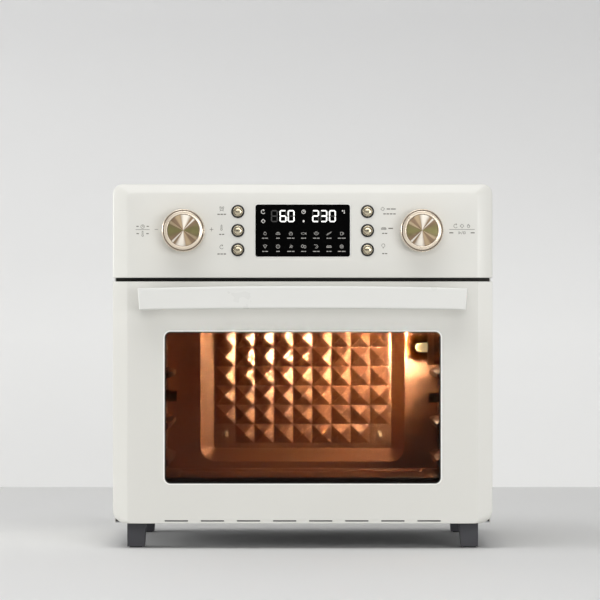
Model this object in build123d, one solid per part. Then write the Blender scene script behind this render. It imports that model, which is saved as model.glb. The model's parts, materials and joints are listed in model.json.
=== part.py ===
from build123d import *
import math
import os

# Countertop air fryer oven: a sheet metal case on four feet, a drop-down glass
# door, a control panel with a display, two knobs and six push buttons, and a
# lined cavity with a lamp, a top fan and a spit drive.
# X runs to the right, Y to the back and Z up. Millimetres.

# Sides of the regular outlines
HEX = 6
SHAFT_SIDES = 12
BUTTON_SIDES = 12
WHEEL_SIDES = 24
DOME_SIDES = 24
KNOB_SIDES = 36

# Overall size
BODY_W = 380.0
BODY_D = 340.0
BODY_H = 365.0
FOOT_H = 25.0
FASCIA_H = 93.7
DOOR_GAP = 3.8
DOOR_LIFT = 0.5
HANDLE_OUT = 26.0
GLAND_OUT = 8.0

# Depths behind the front face
FACE_Y = -(BODY_D + HANDLE_OUT + GLAND_OUT) / 2 + HANDLE_OUT
BACK_Y = FACE_Y + BODY_D
DOOR_T = 25.0
SHELL_START = 27.0
FRAME_START = 28.0

# Heights
TOP_Z = BODY_H
FASCIA_Z0 = BODY_H - FASCIA_H
DOOR_Z0 = FOOT_H + DOOR_LIFT
DOOR_Z1 = FASCIA_Z0 - DOOR_GAP
HALF_W = BODY_W / 2

# Front mouldings
BEVEL_SIDE = 14.7
BEVEL_TOP = 9.6
BEVEL_BACK = 5.0
FASCIA_CORNER = 10.0
FACE_CORNER = 4.0
DOOR_CORNER = 13.0
MOULD_WALL = 3.0
MOULD_HOLLOW = 6.0

# Sheet metal
SHEET = 1.0
LINER = 0.8
SHELL_INSET = 1.0
SHELL_CORNER = 12.0
REAR_FLANGE = 10.0
EASE = 0.1
PLATE_T = 1.2
LAP = 0.3

# Case vents
VENT_L = 46.0
VENT_H = 3.0
VENT_PITCH = 10.0
VENT_ROWS = 5
VENT_BACK = 34.0
VENT_DROP = 30.0
REAR_VENT_COLUMNS = 3
REAR_VENT_PITCH = 70.0

# Cavity
SIDE_GAP = 45.0
CAVITY_LIFT = 43.0
CAVITY_DROP = 19.3
REAR_ROOM = 37.0
LIP = 2.2
MOUTH_R = 8.0
CAVITY_START = FRAME_START + PLATE_T
CAVITY_END = BODY_D - REAR_ROOM
CAVITY_X = HALF_W - SIDE_GAP
CAVITY_Z0 = FOOT_H + CAVITY_LIFT
CAVITY_Z1 = FASCIA_Z0 - CAVITY_DROP

# Drip basin in the cavity floor
BASIN_MARGIN = 14.0
BASIN_DEPTH = 3.0

# Pressed rear wall
PAN_SIDE = 35.0
PAN_LOW = 7.0
PAN_HIGH = 6.0
PAN_DEPTH = 14.0
PAN_CORNER = 2.0
STUD_PITCH = 20.8
STUD_W = 20.2
STUD_TIP = 0.6
STUD_H = 5.5
STUD_LOW = 5.0

# Base and front frame
PANEL_WIRE_W = 60.0
PANEL_WIRE_H = 16.0
BASE_LIP = 12.0
BASE_SLOTS = 7
BASE_SLOT_PITCH = 34.0

# Rack rails and spit drive
RAIL_OUT = 9.0
RAIL_H = 12.0
RAIL_NOSE = 5.0
RAIL_START = 45.0
RAIL_BACK = 18.0
RAIL_UPS = (16.0, 53.0, 104.0)
SPIT_DEPTH = 165.0
SPIT_UP = 81.0
SPIT_OUT = 14.0
SOCKET_R = 6.0
SOCKET_SQUARE = 6.5
SOCKET_DEPTH = 9.0
SOCKET_SHAFT_R = 4.0
SOCKET_SHAFT_IN = 10.0
WALL_HOLE_R = 7.0
SPIT_MOTOR_W = 44.0
SPIT_MOTOR_T = 20.0
SUPPORT_W = 14.0
SUPPORT_SLOT = 8.0
SUPPORT_FOOT_W = 26.0
SUPPORT_FOOT_T = 2.0

# Cavity lamp
LAMP_BACK = 88.0
LAMP_DEPTH = CAVITY_END - LAMP_BACK
LAMP_UP = 131.0
LAMP_COLLAR_R = 19.0
LAMP_COLLAR_OUT = 13.5
DOME_R = 15.5
DOME_OUT = 37.0
DOME_WALL = 1.6
DOME_EDGE = 7.0
LAMP_FLOOR = 2.0
LAMP_BODY_W = 30.0
LAMP_BODY_IN = 26.0
BULB_R = 8.5
BULB_EDGE = 3.5
BULB_OUT = 27.0
BULB_BASE_R = 6.0
BULB_BASE_IN = 16.0

# Temperature probe
PROBE_R = 2.2
PROBE_L = 26.0
PROBE_DEPTH = 90.0
PROBE_DROP = 13.0
PROBE_NUT_R = 5.0
PROBE_NUT_T = 4.0

# Fan and heating element, from the ceiling up
FAN_DEPTH = 165.0
FAN_OPENING_R = 92.0
HOUSING_R = 100.0
HOUSING_H = 35.0
HOUSING_FLANGE = 8.0
GUARD_R = 98.0
GUARD_DROP = 4.0
GUARD_T = 0.8
GUARD_SLOTS = 12
GUARD_SLOT_R0 = 34.0
GUARD_SLOT_R1 = 88.0
GUARD_SLOT_W = 5.0
ELEMENT_R = 72.0
ELEMENT_TUBE_R = 3.25
ELEMENT_EDGE = 1.6
ELEMENT_UP = 6.0
ELEMENT_LEG_X = 18.0
ELEMENT_LEG_TOP = 8.0
CLIP_W = 9.0
CLIP_T = 1.5
CLIP_H = 6.0
CLIP_END_R = 98.0
CLIP_ANGLES = (30, 90, 150)
SHAFT_R = 4.0
SHAFT_HOLE_R = 7.0
HOT_FAN_R = 60.0
HOT_FAN_UP = 14.0
HOT_FAN_H = 18.0
HOT_BLADES = 9
HUB_R = 9.0
DISC_T = 1.0
BLADE_T = 1.0
BLADE_ROOT_R = 16.0
BLADE_BOW = 7.0
BLADE_TIP_IN = 1.0
COOL_FAN_R = 52.0
COOL_FAN_UP = 5.0
COOL_FAN_H = 12.0
COOL_BLADES = 7
MOTOR_R = 29.0
MOTOR_H = 32.0
MOTOR_UP = 25.0
BRACKET_W = 30.0
BRACKET_SPAN = 78.0
BRACKET_FOOT = 12.0
BRACKET_T = 1.5
RUN_EASE = 0.08

# Feet
FOOT_W = 19.0
FOOT_TOE = 2.0
FOOT_L = 26.0
FOOT_IN = 13.5
FOOT_START = 24.0
FOOT_BACK = 31.0
PAD_H = 3.0
PAD_IN = 2.0
PAD_POCKET = 2.0

# Screws
SCREW_R = 2.0
SCREW_HEAD_R = 3.8
SCREW_HEAD_H = 2.0
SCREW_L = 9.0
SCREW_EASE = 0.1

# Cord entry
GLAND_BORE_R = 4.0
GLAND_R = 7.0
GLAND_FLANGE_R = 10.0
GLAND_FLANGE_T = 3.0
GLAND_IN = 8.0
GLAND_X = 140.0
GLAND_UP = 40.0

# Control panel, from its centre line and down from its top
ROW_DROP = 46.6
DISPLAY_W = 94.4
DISPLAY_H = 52.0
DISPLAY_R = 2.3
DISPLAY_T = 2.0
DISPLAY_PROUD = 0.2
DISPLAY_LEDGE = 4.0
KNOB_X = 119.0
BUTTON_X = 64.8
BUTTON_PITCH = 19.1
BOARD_W = 284.0
BOARD_H = 62.0
BOARD_T = 1.6
BOARD_START = 14.0
BOSS_W = 6.0
BOSS_X = 136.0
BOSS_UP = 26.0
RELAY_W = 16.0
RELAY_T = 9.0
RELAY_PITCH = 40.0
RELAYS = 4

# Knobs and encoders
KNOB_R = 21.3
KNOB_GAP = 1.8
KNOB_OUT = 17.4
KNOB_RIM = 2.0
KNOB_FACE_T = 1.0
KNOB_DISH_R = 15.8
KNOB_DISH_T = 0.4
SPINDLE_R = 3.0
SPINDLE_HOLE_R = 4.2
SPINDLE_IN_KNOB = 12.0
SPINDLE_END = 11.0
ENCODER_W = 12.0
ENCODER_START = 6.5
ENCODER_BUSH_R = 3.9
ENCODER_BUSH_START = 3.2
PLUNGER_L = 1.5
PLUNGER_EASE = 0.1
PUSH_TRAVEL = 1.2

# Push buttons
CAP_R = 4.85
CAP_OUT = 1.9
CAP_CROWN = 0.8
CAP_FLANGE_W = 12.0
CAP_FLANGE_T = 1.2
CAP_STEM_W = 4.0
CAP_STEM_END = 9.6
BEZEL_IN_R = 5.15
BEZEL_R = 6.7
BEZEL_OUT = 1.2
SWITCH_W = 6.0
SWITCH_GAP = 0.4

# Door
DOOR_FRAME_D = 17.0
DOOR_FRONT_T = 4.0
WINDOW_SIDE = 51.8
WINDOW_TOP = 50.2
WINDOW_LOW = 39.7
WINDOW_R = 6.0
GLASS_T = 4.0
GLASS_LAP = 8.0
INNER_INSET = 1.5
INNER_T = 1.2
INNER_TAPER = 8.0
INNER_OPEN = 1.5
DOOR_SLOTS = 8
DOOR_SLOT_PITCH = 36.1
DOOR_SLOT_W = 23.3
DOOR_SLOT_H = 1.2
DOOR_SLOT_UP = 1.9
GASKET_W = 4.0
GASKET_GAP = 0.3

# Handle
HANDLE_SIDE = 26.0
HANDLE_SLANT = 1.5
HANDLE_DROP = 4.4
HANDLE_H = 22.6
HANDLE_CAMBER_TOP = 2.3
HANDLE_CAMBER_LOW = 1.3
HANDLE_T = 8.0
HANDLE_EDGE = 1.2
POST_W = 15.0
POST_FLARE = 7.0
POST_MARGIN = 1.5
POST_EDGE = 3.0
POST_SCREW_IN = 12.0
POST_SCREW_L = 11.0

# Door hinge
HINGE_DEPTH = 9.0
HINGE_UP = 12.0
HINGE_IN = 27.0
ARM_T = 3.0
ARM_EYE_R = 5.2
PIN_R = 3.0
PIN_L = 24.0
NOTCH_AHEAD = 5.5
NOTCH_ABOVE = 6.5
NOTCH_SIDE = 1.0
NOTCH_SPRING = 5.5
HINGE_BLOCK_W = 26.0
HINGE_BLOCK_UP = 9.0
BRACKET_BASE_W = 16.0
BRACKET_BASE_T = 1.2
BRACKET_BASE_UP = 19.0
SPRING_R = 4.8
SPRING_IN_R = 3.6
SPRING_L = 4.0


def at(depth):
    """Y of a depth behind the front face."""
    return FACE_Y + depth


def block(x0, x1, y0, y1, z0, z1):
    """Square solid between two opposite corners."""
    centre = Pos((x0 + x1) / 2, (y0 + y1) / 2, (z0 + z1) / 2)
    return centre * Box(x1 - x0, y1 - y0, z1 - z0)


def rod_y(radius, x, y0, y1, z):
    """Round rod along Y."""
    return Pos(x, (y0 + y1) / 2, z) * Rot(90, 0, 0) * Cylinder(radius, y1 - y0)


def prism_x(radius, sides, x0, x1, y, z, around=False):
    """Regular prism along X, its corners on a radius or its flats around one."""
    side = Plane(origin=(x0, y, z), x_dir=(0, 1, 0), z_dir=(1, 0, 0))
    return extrude(side * RegularPolygon(radius, sides, not around), amount=x1 - x0)


def prism_y(radius, sides, x, y0, y1, z, around=False):
    """Regular prism along Y, its corners on a radius or its flats around one."""
    return deep(Pos(x, z) * RegularPolygon(radius, sides, not around), y0, y1)


def prism_z(radius, sides, x, y, z0, z1, around=False):
    """Regular prism along Z, its corners on a radius or its flats around one."""
    return tall(Pos(x, y) * RegularPolygon(radius, sides, not around), z0, z1)


def hole_x(radius, x0, x1, y, z):
    """Cutter along X that clears a radius."""
    return prism_x(radius, SHAFT_SIDES, x0, x1, y, z, True)


def hole_y(radius, x, y0, y1, z):
    """Cutter along Y that clears a radius."""
    return prism_y(radius, SHAFT_SIDES, x, y0, y1, z, True)


def hole_z(radius, x, y, z0, z1):
    """Cutter along Z that clears a radius."""
    return prism_z(radius, SHAFT_SIDES, x, y, z0, z1, True)


def upright(y):
    """Drawing plane in X and Z that faces the front, at a given Y."""
    return Plane(origin=(0, y, 0), x_dir=(1, 0, 0), z_dir=(0, -1, 0))


def outline(x0, x1, z0, z1, top_r=0.0, bottom_r=0.0):
    """Rectangle in X and Z with rounded top or bottom corners."""
    face = Pos((x0 + x1) / 2, (z0 + z1) / 2) * Rectangle(x1 - x0, z1 - z0)
    if bottom_r:
        face = fillet(face.vertices().group_by(Axis.Y)[0], bottom_r)
    if top_r:
        face = fillet(face.vertices().group_by(Axis.Y)[-1], top_r)
    return face


def deep(face, y0, y1):
    """Outline in X and Z made solid from y0 back to y1."""
    return extrude(upright(y1) * face, amount=y1 - y0)


def tall(face, z0, z1):
    """Outline in X and Y made solid from z0 up to z1."""
    return extrude(Plane.XY.offset(z0) * face, amount=z1 - z0)


def skin(front_face, y_front, back_face, y_back):
    """Straight-sided solid between two outlines at two depths."""
    return loft([upright(y_back) * back_face, upright(y_front) * front_face], ruled=True)


def narrowing(face, y0, y1, slope):
    """Symmetric outline in X and Z that narrows by a slope as it runs back."""
    plane = Plane(origin=(0, y0, 0), x_dir=(-1, 0, 0), z_dir=(0, 1, 0))
    return extrude(plane * face, amount=y1 - y0, taper=slope)


def group(solids):
    """Several separate solids kept in one node."""
    return Compound(children=[solid for shape in solids for solid in shape.solids()])


def spaced(count, pitch):
    """Evenly spaced places about zero."""
    return [(index - (count - 1) / 2) * pitch for index in range(count)]


def shell_outline(inset, below=0.0):
    """Outer casing outline, drawn in by an inset and run down below the base."""
    x1 = HALF_W - SHELL_INSET - inset
    return outline(-x1, x1, FOOT_H - below, TOP_Z - SHELL_INSET - inset, SHELL_CORNER - inset)


def side_vents():
    """Slot cutters through both side walls, high up at the rear."""
    y1 = BACK_Y - VENT_BACK
    z_first = TOP_Z - VENT_DROP
    rows = [z_first - index * VENT_PITCH for index in range(VENT_ROWS)]
    return [block(-BODY_W, BODY_W, y1 - VENT_L, y1, z - VENT_H / 2, z + VENT_H / 2) for z in rows]


def outer_shell():
    """Bent sheet over both sides and the top, with a rear flange."""
    wall = shell_outline(0) - shell_outline(SHEET, SHEET)
    cover = deep(wall, at(SHELL_START), BACK_Y - SHEET)
    rim = shell_outline(EASE) - shell_outline(REAR_FLANGE, REAR_FLANGE)
    flange = deep(rim, BACK_Y - 2 * SHEET, BACK_Y - SHEET)
    return cover + flange - side_vents() - cover_screw_holes()


def front_frame():
    """Flat steel frame behind the door and panel, open at the cavity."""
    edge = HALF_W - SHELL_INSET - SHEET - EASE
    top = TOP_Z - SHELL_INSET - SHEET - EASE
    sheet = outline(-edge, edge, FOOT_H + SHEET + EASE, top, SHELL_CORNER - SHEET)
    mouth = outline(
        -CAVITY_X + LIP, CAVITY_X - LIP, CAVITY_Z0 + LIP, CAVITY_Z1 - LIP, MOUTH_R, MOUTH_R
    )
    wires = Pos(0, (CAVITY_Z1 + TOP_Z) / 2) * Rectangle(PANEL_WIRE_W, PANEL_WIRE_H)
    return deep(sheet - mouth - wires, at(FRAME_START), at(CAVITY_START))


def base_plate():
    """Folded tray that closes the bottom and carries the feet."""
    edge = HALF_W - SHELL_INSET - SHEET
    y0 = at(CAVITY_START)
    y1 = BACK_Y - 2 * SHEET
    z0 = FOOT_H
    tray = block(-edge, edge, y0, y1, z0, z0 + BASE_LIP)
    inside = block(-edge + SHEET, edge - SHEET, y0 + SHEET, y1 - SHEET, z0 + SHEET, z0 + 2 * BASE_LIP)
    slot = Box(VENT_H, VENT_L, 4 * SHEET)
    middle = (y0 + y1) / 2
    slots = [Pos(x, middle + y, z0) * slot
             for x in spaced(BASE_SLOTS, BASE_SLOT_PITCH) for y in (-VENT_L, VENT_L)]
    return tray - inside - slots - [foot_screw_hole(x, y) for x, y in foot_centres()]


def rear_cover():
    """Rear sheet with rows of vents and the cord entry hole."""
    cover = deep(shell_outline(0), BACK_Y - SHEET, BACK_Y)
    slot = deep(Rectangle(VENT_L, VENT_H), BACK_Y - 2 * SHEET, BACK_Y + SHEET)
    z_first = TOP_Z - VENT_DROP - VENT_PITCH
    slots = [Pos(x, 0, z_first - row * VENT_PITCH) * slot
             for x in spaced(REAR_VENT_COLUMNS, REAR_VENT_PITCH) for row in range(VENT_ROWS)]
    z = FOOT_H + GLAND_UP
    entry = rod_y(GLAND_R + EASE, GLAND_X, BACK_Y - 2 * SHEET, BACK_Y + SHEET, z)
    return cover - slots - entry - cover_screw_holes()


def cord_gland():
    """Round cable entry with a hexagonal flange, and no cord in it."""
    z = FOOT_H + GLAND_UP
    sleeve = prism_y(GLAND_R, SHAFT_SIDES, GLAND_X, BACK_Y - GLAND_IN, BACK_Y + GLAND_OUT, z)
    flange = prism_y(GLAND_FLANGE_R, HEX, GLAND_X, BACK_Y, BACK_Y + GLAND_FLANGE_T, z)
    bore = rod_y(GLAND_BORE_R, GLAND_X, BACK_Y - GLAND_IN - 1, BACK_Y + GLAND_OUT + 1, z)
    return sleeve + flange - bore


def cover_screw_places():
    """Screws round the rear cover, in the middle of the shell's flange."""
    x1 = HALF_W - SHELL_INSET - REAR_FLANGE / 2
    z1 = TOP_Z - SHELL_INSET - REAR_FLANGE / 2
    z0 = FOOT_H + BASE_LIP + 2 * SCREW_HEAD_R
    return [(sign * x1, z) for sign in (-1, 1) for z in (z0, z1 - REAR_FLANGE)]


def cover_screw_holes():
    """Clearance holes for the rear cover's screws."""
    radius = SCREW_R + SCREW_EASE
    y0 = BACK_Y - 3 * SHEET
    return [prism_y(radius, HEX, x, y0, BACK_Y + SHEET, z, True) for x, z in cover_screw_places()]


def foot_centres():
    """Middle of each foot, seen from above."""
    x1 = HALF_W - FOOT_IN - FOOT_W / 2
    y0 = at(FOOT_START) + FOOT_L / 2
    y1 = BACK_Y - FOOT_BACK - FOOT_L / 2
    return [(x, y) for y in (y0, y1) for x in (-x1, x1)]


def foot_screw_y(y):
    """The screw stands in the part of the foot that is under the base."""
    return max(y, at(CAVITY_START) + SHEET + SCREW_HEAD_R + 2 * EASE)


def foot_screw_hole(x, y):
    """Clearance hole for a foot screw."""
    radius = SCREW_R + SCREW_EASE
    return prism_z(radius, HEX, x, foot_screw_y(y), FOOT_H - SCREW_L, FOOT_H + 2 * SHEET, True)


def foot(x, y):
    """One moulded foot: upright outside, sloped inside, hollowed for its pad."""
    out = FOOT_W / 2 if x > 0 else -FOOT_W / 2
    toe = FOOT_TOE if x > 0 else -FOOT_TOE
    corners = [(out, FOOT_H), (-out, FOOT_H), (-out + toe, PAD_POCKET / 2), (out, PAD_POCKET / 2)]
    leg = deep(Pos(x, 0) * make_face(Polyline(*corners, close=True)), y - FOOT_L / 2, y + FOOT_L / 2)
    pocket_x = FOOT_W / 2 - abs(FOOT_TOE) / 2 - PAD_IN
    pocket_y = FOOT_L / 2 - PAD_IN
    shift = toe / 2
    pocket = block(x + shift - pocket_x, x + shift + pocket_x, y - pocket_y, y + pocket_y, 0, PAD_H)
    return leg - pocket - foot_screw_hole(x, y)


def feet():
    """Four feet, the left and right ones mirrored."""
    return group([foot(x, y) for x, y in foot_centres()])


def foot_pads():
    """Rubber pads that the oven stands on, seated up in the feet."""
    pads = []
    half_x = FOOT_W / 2 - FOOT_TOE / 2 - PAD_IN - EASE
    half_y = FOOT_L / 2 - PAD_IN - EASE
    for x, y in foot_centres():
        middle = x + math.copysign(FOOT_TOE / 2, x)
        pads.append(block(middle - half_x, middle + half_x, y - half_y, y + half_y, 0, PAD_H))
    return group(pads)


def screw_y(x, y_head, z, length, outward):
    """Hexagon head screw along Y; outward is -1 for a head that faces the front."""
    head = [y_head, y_head + outward * SCREW_HEAD_H]
    shank = [y_head, y_head - outward * length]
    solid = prism_y(SCREW_HEAD_R, HEX, x, min(head), max(head), z)
    return solid + prism_y(SCREW_R, HEX, x, min(shank), max(shank), z)


def panel_screws():
    """Screws of the rear cover, the feet and the pressed rear wall."""
    screws = [screw_y(x, BACK_Y, z, SCREW_L, 1) for x, z in cover_screw_places()]
    z = FOOT_H + SHEET
    for x, y in foot_centres():
        y = foot_screw_y(y)
        head = prism_z(SCREW_HEAD_R, HEX, x, y, z, z + SCREW_HEAD_H)
        screws.append(head + prism_z(SCREW_R, HEX, x, y, z - SCREW_L, z))
    floor_y = at(CAVITY_END + PAN_DEPTH)
    screws += [screw_y(x, floor_y, z, SCREW_L / 2, -1) for x, z in pan_screw_places()]
    return group(screws)


def cavity_side(sign):
    """Liner wall beside the cavity; sign is -1 on the left and 1 on the right."""
    x0, x1 = sorted((sign * CAVITY_X, sign * (CAVITY_X + LINER)))
    wall = block(x0, x1, at(CAVITY_START), at(CAVITY_END), CAVITY_Z0 - LINER, CAVITY_Z1 + LINER)
    if sign < 0:
        return wall - hole_x(WALL_HOLE_R, x0 - 1, x1 + 1, *spit_place())
    y = at(LAMP_DEPTH)
    z = CAVITY_Z0 + LAMP_UP
    half = LAMP_BODY_W / 2 + EASE
    lamp_hole = block(x0 - 1, x1 + 1, y - half, y + half, z - half, z + half)
    probe_y = at(PROBE_DEPTH)
    probe_hole = hole_x(PROBE_R + EASE, x0 - 1, x1 + 1, probe_y, CAVITY_Z1 - PROBE_DROP)
    return wall - lamp_hole - probe_hole


def cavity_floor():
    """Liner floor between the side walls, with a shallow pressed drip basin."""
    y0 = at(CAVITY_START)
    y1 = at(CAVITY_END)
    sheet = block(-CAVITY_X, CAVITY_X, y0, y1, CAVITY_Z0 - LINER, CAVITY_Z0)
    middle = (y0 + y1) / 2

    def basin(grow, z1):
        wide = 2 * (CAVITY_X - BASIN_MARGIN + grow)
        long = y1 - y0 - 2 * (BASIN_MARGIN - grow)
        step = BASIN_DEPTH
        form = Wedge(wide, step, long, step, step, wide - step, long - step)
        return Pos(0, middle, z1 - step / 2) * Rot(-90, 0, 0) * form

    return sheet + basin(LINER, CAVITY_Z0 - LINER) - basin(0, CAVITY_Z0)


def cavity_ceiling():
    """Liner ceiling with the fan opening."""
    z0 = CAVITY_Z1
    sheet = block(-CAVITY_X, CAVITY_X, at(CAVITY_START), at(CAVITY_END), z0, z0 + LINER)
    return sheet - prism_z(FAN_OPENING_R, WHEEL_SIDES, 0, at(FAN_DEPTH), z0 - 1, z0 + 1 + LINER, True)


def pan_limits(grow):
    """Edges of the rear wall's pressed pan at its mouth, grown outwards."""
    x1 = CAVITY_X - PAN_SIDE + grow
    return -x1, x1, CAVITY_Z0 + PAN_LOW - grow, CAVITY_Z1 - PAN_HIGH + grow


def pan_solid(grow, depth_front, corner):
    """Pan volume with 45 degree sides, PAN_DEPTH deep from a given depth."""
    mouth = outline(*pan_limits(grow), corner, corner)
    return narrowing(mouth, at(depth_front), at(depth_front + PAN_DEPTH), 45)


def stud_grid():
    """Columns and rows of the pressed pyramids, from the pan's own size."""
    x0, x1, z0, z1 = pan_limits(-PAN_DEPTH)
    columns = int((x1 - x0) // STUD_PITCH)
    first = z0 + STUD_LOW + STUD_PITCH / 2
    rows = int((z1 - z0 - STUD_LOW) // STUD_PITCH)
    return spaced(columns, STUD_PITCH), [first + row * STUD_PITCH for row in range(rows)]


def pan_screw_places():
    """Screws in the flat bottom corner cells of the pressed wall."""
    columns, rows = stud_grid()
    return [(columns[0], rows[0]), (columns[-1], rows[0])]


def pyramid():
    """One pressed pyramid that points to the front, with its base on y = 0."""
    rise = (STUD_W - STUD_TIP) / 2
    end = rise + STUD_TIP
    return Pos(0, -STUD_H / 2, 0) * Rot(0, 0, 180) * Wedge(STUD_W, STUD_H, STUD_W, rise, rise, end, end)


def cavity_rear():
    """Rear liner: a deep pressed pan filled with rows of low pyramids."""
    side = CAVITY_X + LINER
    sheet = block(
        -side, side, at(CAVITY_END), at(CAVITY_END) + LINER, CAVITY_Z0 - LINER, CAVITY_Z1 + LINER
    )
    outer = pan_solid(LINER, CAVITY_END + LINER, 0)
    wall = sheet + outer - pan_solid(0, CAVITY_END, PAN_CORNER + PAN_DEPTH)
    floor_y = at(CAVITY_END + PAN_DEPTH)
    stud = pyramid()
    columns, rows = stud_grid()
    flat_cells = pan_screw_places()
    cells = [(x, z) for x in columns for z in rows if (x, z) not in flat_cells]
    wall = wall + [Pos(x, floor_y, z) * stud for x, z in cells]
    radius = SCREW_R + SCREW_EASE
    return wall - [prism_y(radius, HEX, x, floor_y - 1, floor_y + 2, z, True) for x, z in flat_cells]


def rack_rails(sign):
    """Three pressed rails that carry the racks on one side wall."""
    rails = []
    for up in RAIL_UPS:
        z = CAVITY_Z0 + up
        wall_x = sign * CAVITY_X
        nose_x = sign * (CAVITY_X - RAIL_OUT)
        corners = [
            (wall_x, z - RAIL_H / 2),
            (nose_x, z - RAIL_NOSE / 2),
            (nose_x, z + RAIL_NOSE / 2),
            (wall_x, z + RAIL_H / 2),
        ]
        profile = make_face(Polyline(*corners, close=True))
        rails.append(deep(profile, at(RAIL_START), at(CAVITY_END - RAIL_BACK)))
    return group(rails)


def spit_place():
    """Y and Z of the spit's axis."""
    return at(SPIT_DEPTH), CAVITY_Z0 + SPIT_UP


def spit_motor():
    """Geared synchronous motor on the outside of the left wall."""
    y, z = spit_place()
    x1 = -CAVITY_X - LINER
    half = SPIT_MOTOR_W / 2
    case = block(x1 - SPIT_MOTOR_T, x1, y - half, y + half, z - half, z + half)
    return case - hole_x(SOCKET_SHAFT_R + RUN_EASE, x1 - SOCKET_SHAFT_IN - 2, x1 + 1, y, z)


def spit_socket():
    """Turning drive socket with a square hole for the spit's end."""
    y, z = spit_place()
    wall_x = -CAVITY_X
    head = prism_x(SOCKET_R, SHAFT_SIDES, wall_x + LAP, wall_x + SPIT_OUT, y, z)
    shaft = prism_x(SOCKET_SHAFT_R, SHAFT_SIDES, wall_x - LINER - SOCKET_SHAFT_IN, wall_x + LAP, y, z)
    half = SOCKET_SQUARE / 2
    x1 = wall_x + SPIT_OUT
    square = block(x1 - SOCKET_DEPTH, x1 + 1, y - half, y + half, z - half, z + half)
    return head + shaft - square


def spit_support():
    """Open hook on the right wall that the spit's round end lies in."""
    y, z = spit_place()
    x1 = CAVITY_X
    half = SUPPORT_W / 2
    arm = block(x1 - SPIT_OUT, x1, y - half, y + half, z - half, z + half / 2)
    foot = block(x1 - SUPPORT_FOOT_T, x1, y - SUPPORT_FOOT_W / 2, y + SUPPORT_FOOT_W / 2, z - half, z + half)
    slot_r = SUPPORT_SLOT / 2
    gap = block(x1 - SPIT_OUT - 1, x1 - SUPPORT_FOOT_T, y - slot_r, y + slot_r, z, z + half + 1)
    return arm + foot - gap - hole_x(slot_r, x1 - SPIT_OUT - 1, x1 - SUPPORT_FOOT_T, y, z)


def lamp_frame():
    """Placement of the lamp: its heights run left from the right wall."""
    return Pos(CAVITY_X, at(LAMP_DEPTH), CAVITY_Z0 + LAMP_UP) * Rot(0, -90, 0)


def lamp_holder():
    """Ceramic lamp socket through the right wall, with a round collar inside."""
    body = Pos(0, 0, -LAMP_BODY_IN / 2) * Box(LAMP_BODY_W, LAMP_BODY_W, LAMP_BODY_IN)
    collar = prism_z(LAMP_COLLAR_R, DOME_SIDES, 0, 0, 0, LAMP_COLLAR_OUT)
    seat = prism_z(DOME_R + EASE, DOME_SIDES, 0, 0, LAMP_FLOOR, LAMP_COLLAR_OUT + 1, True)
    socket = prism_z(BULB_BASE_R + EASE, BUTTON_SIDES, 0, 0, -BULB_BASE_IN, LAMP_FLOOR + 1, True)
    return lamp_frame() * (body + collar - seat - socket)


def rounded_end(radius, sides, z0, z1, edge):
    """Upright prism with its top edge cut back."""
    prism = prism_z(radius, sides, 0, 0, z0, z1)
    return chamfer(prism.faces().sort_by(Axis.Z)[-1].edges(), edge)


def lamp_dome():
    """Glass cover over the bulb: a tube with a rounded, closed end."""
    outside = rounded_end(DOME_R, DOME_SIDES, LAMP_FLOOR, DOME_OUT, DOME_EDGE)
    inner = DOME_R - DOME_WALL
    inside = rounded_end(inner, DOME_SIDES, LAMP_FLOOR - 1, DOME_OUT - DOME_WALL, DOME_EDGE)
    return lamp_frame() * (outside - inside)


def lamp_bulb():
    """Small oven lamp with its base down in the holder."""
    shoulder = BULB_OUT - 2 * BULB_R
    base = prism_z(BULB_BASE_R, BUTTON_SIDES, 0, 0, -BULB_BASE_IN, shoulder)
    return lamp_frame() * (base + rounded_end(BULB_R, BUTTON_SIDES, shoulder, BULB_OUT, BULB_EDGE))


def temperature_probe():
    """Thin sensor rod through the right wall, held by a nut outside."""
    y = at(PROBE_DEPTH)
    z = CAVITY_Z1 - PROBE_DROP
    x1 = CAVITY_X + LINER
    rod = prism_x(PROBE_R, SHAFT_SIDES, CAVITY_X - PROBE_L, x1, y, z)
    return rod + prism_x(PROBE_NUT_R, HEX, x1, x1 + PROBE_NUT_T, y, z)


def around_fan(angle, radius):
    """Place on a circle round the fan's axis, seen from above."""
    turn = math.radians(angle)
    return radius * math.cos(turn), at(FAN_DEPTH) + radius * math.sin(turn)


def element_leg_places():
    """Where the heating element's two ends pass up through the housing."""
    return [around_fan(-90 + side * ELEMENT_LEG_X, ELEMENT_R) for side in (-1, 1)]


def fan_guard():
    """Slotted dish under the fan opening."""
    y = at(FAN_DEPTH)
    z0 = CAVITY_Z1 - GUARD_DROP
    dish = prism_z(GUARD_R, WHEEL_SIDES, 0, y, z0, CAVITY_Z1)
    dish = dish - prism_z(GUARD_R - GUARD_T, WHEEL_SIDES, 0, y, z0 + GUARD_T, CAVITY_Z1 + 1)
    length = GUARD_SLOT_R1 - GUARD_SLOT_R0
    slot = Pos((GUARD_SLOT_R0 + GUARD_SLOT_R1) / 2, 0) * Box(length, GUARD_SLOT_W, 4 * GUARD_T)
    step = 360 / GUARD_SLOTS
    return dish - [Pos(0, y, z0) * Rot(0, 0, index * step) * slot for index in range(GUARD_SLOTS)]


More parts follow.
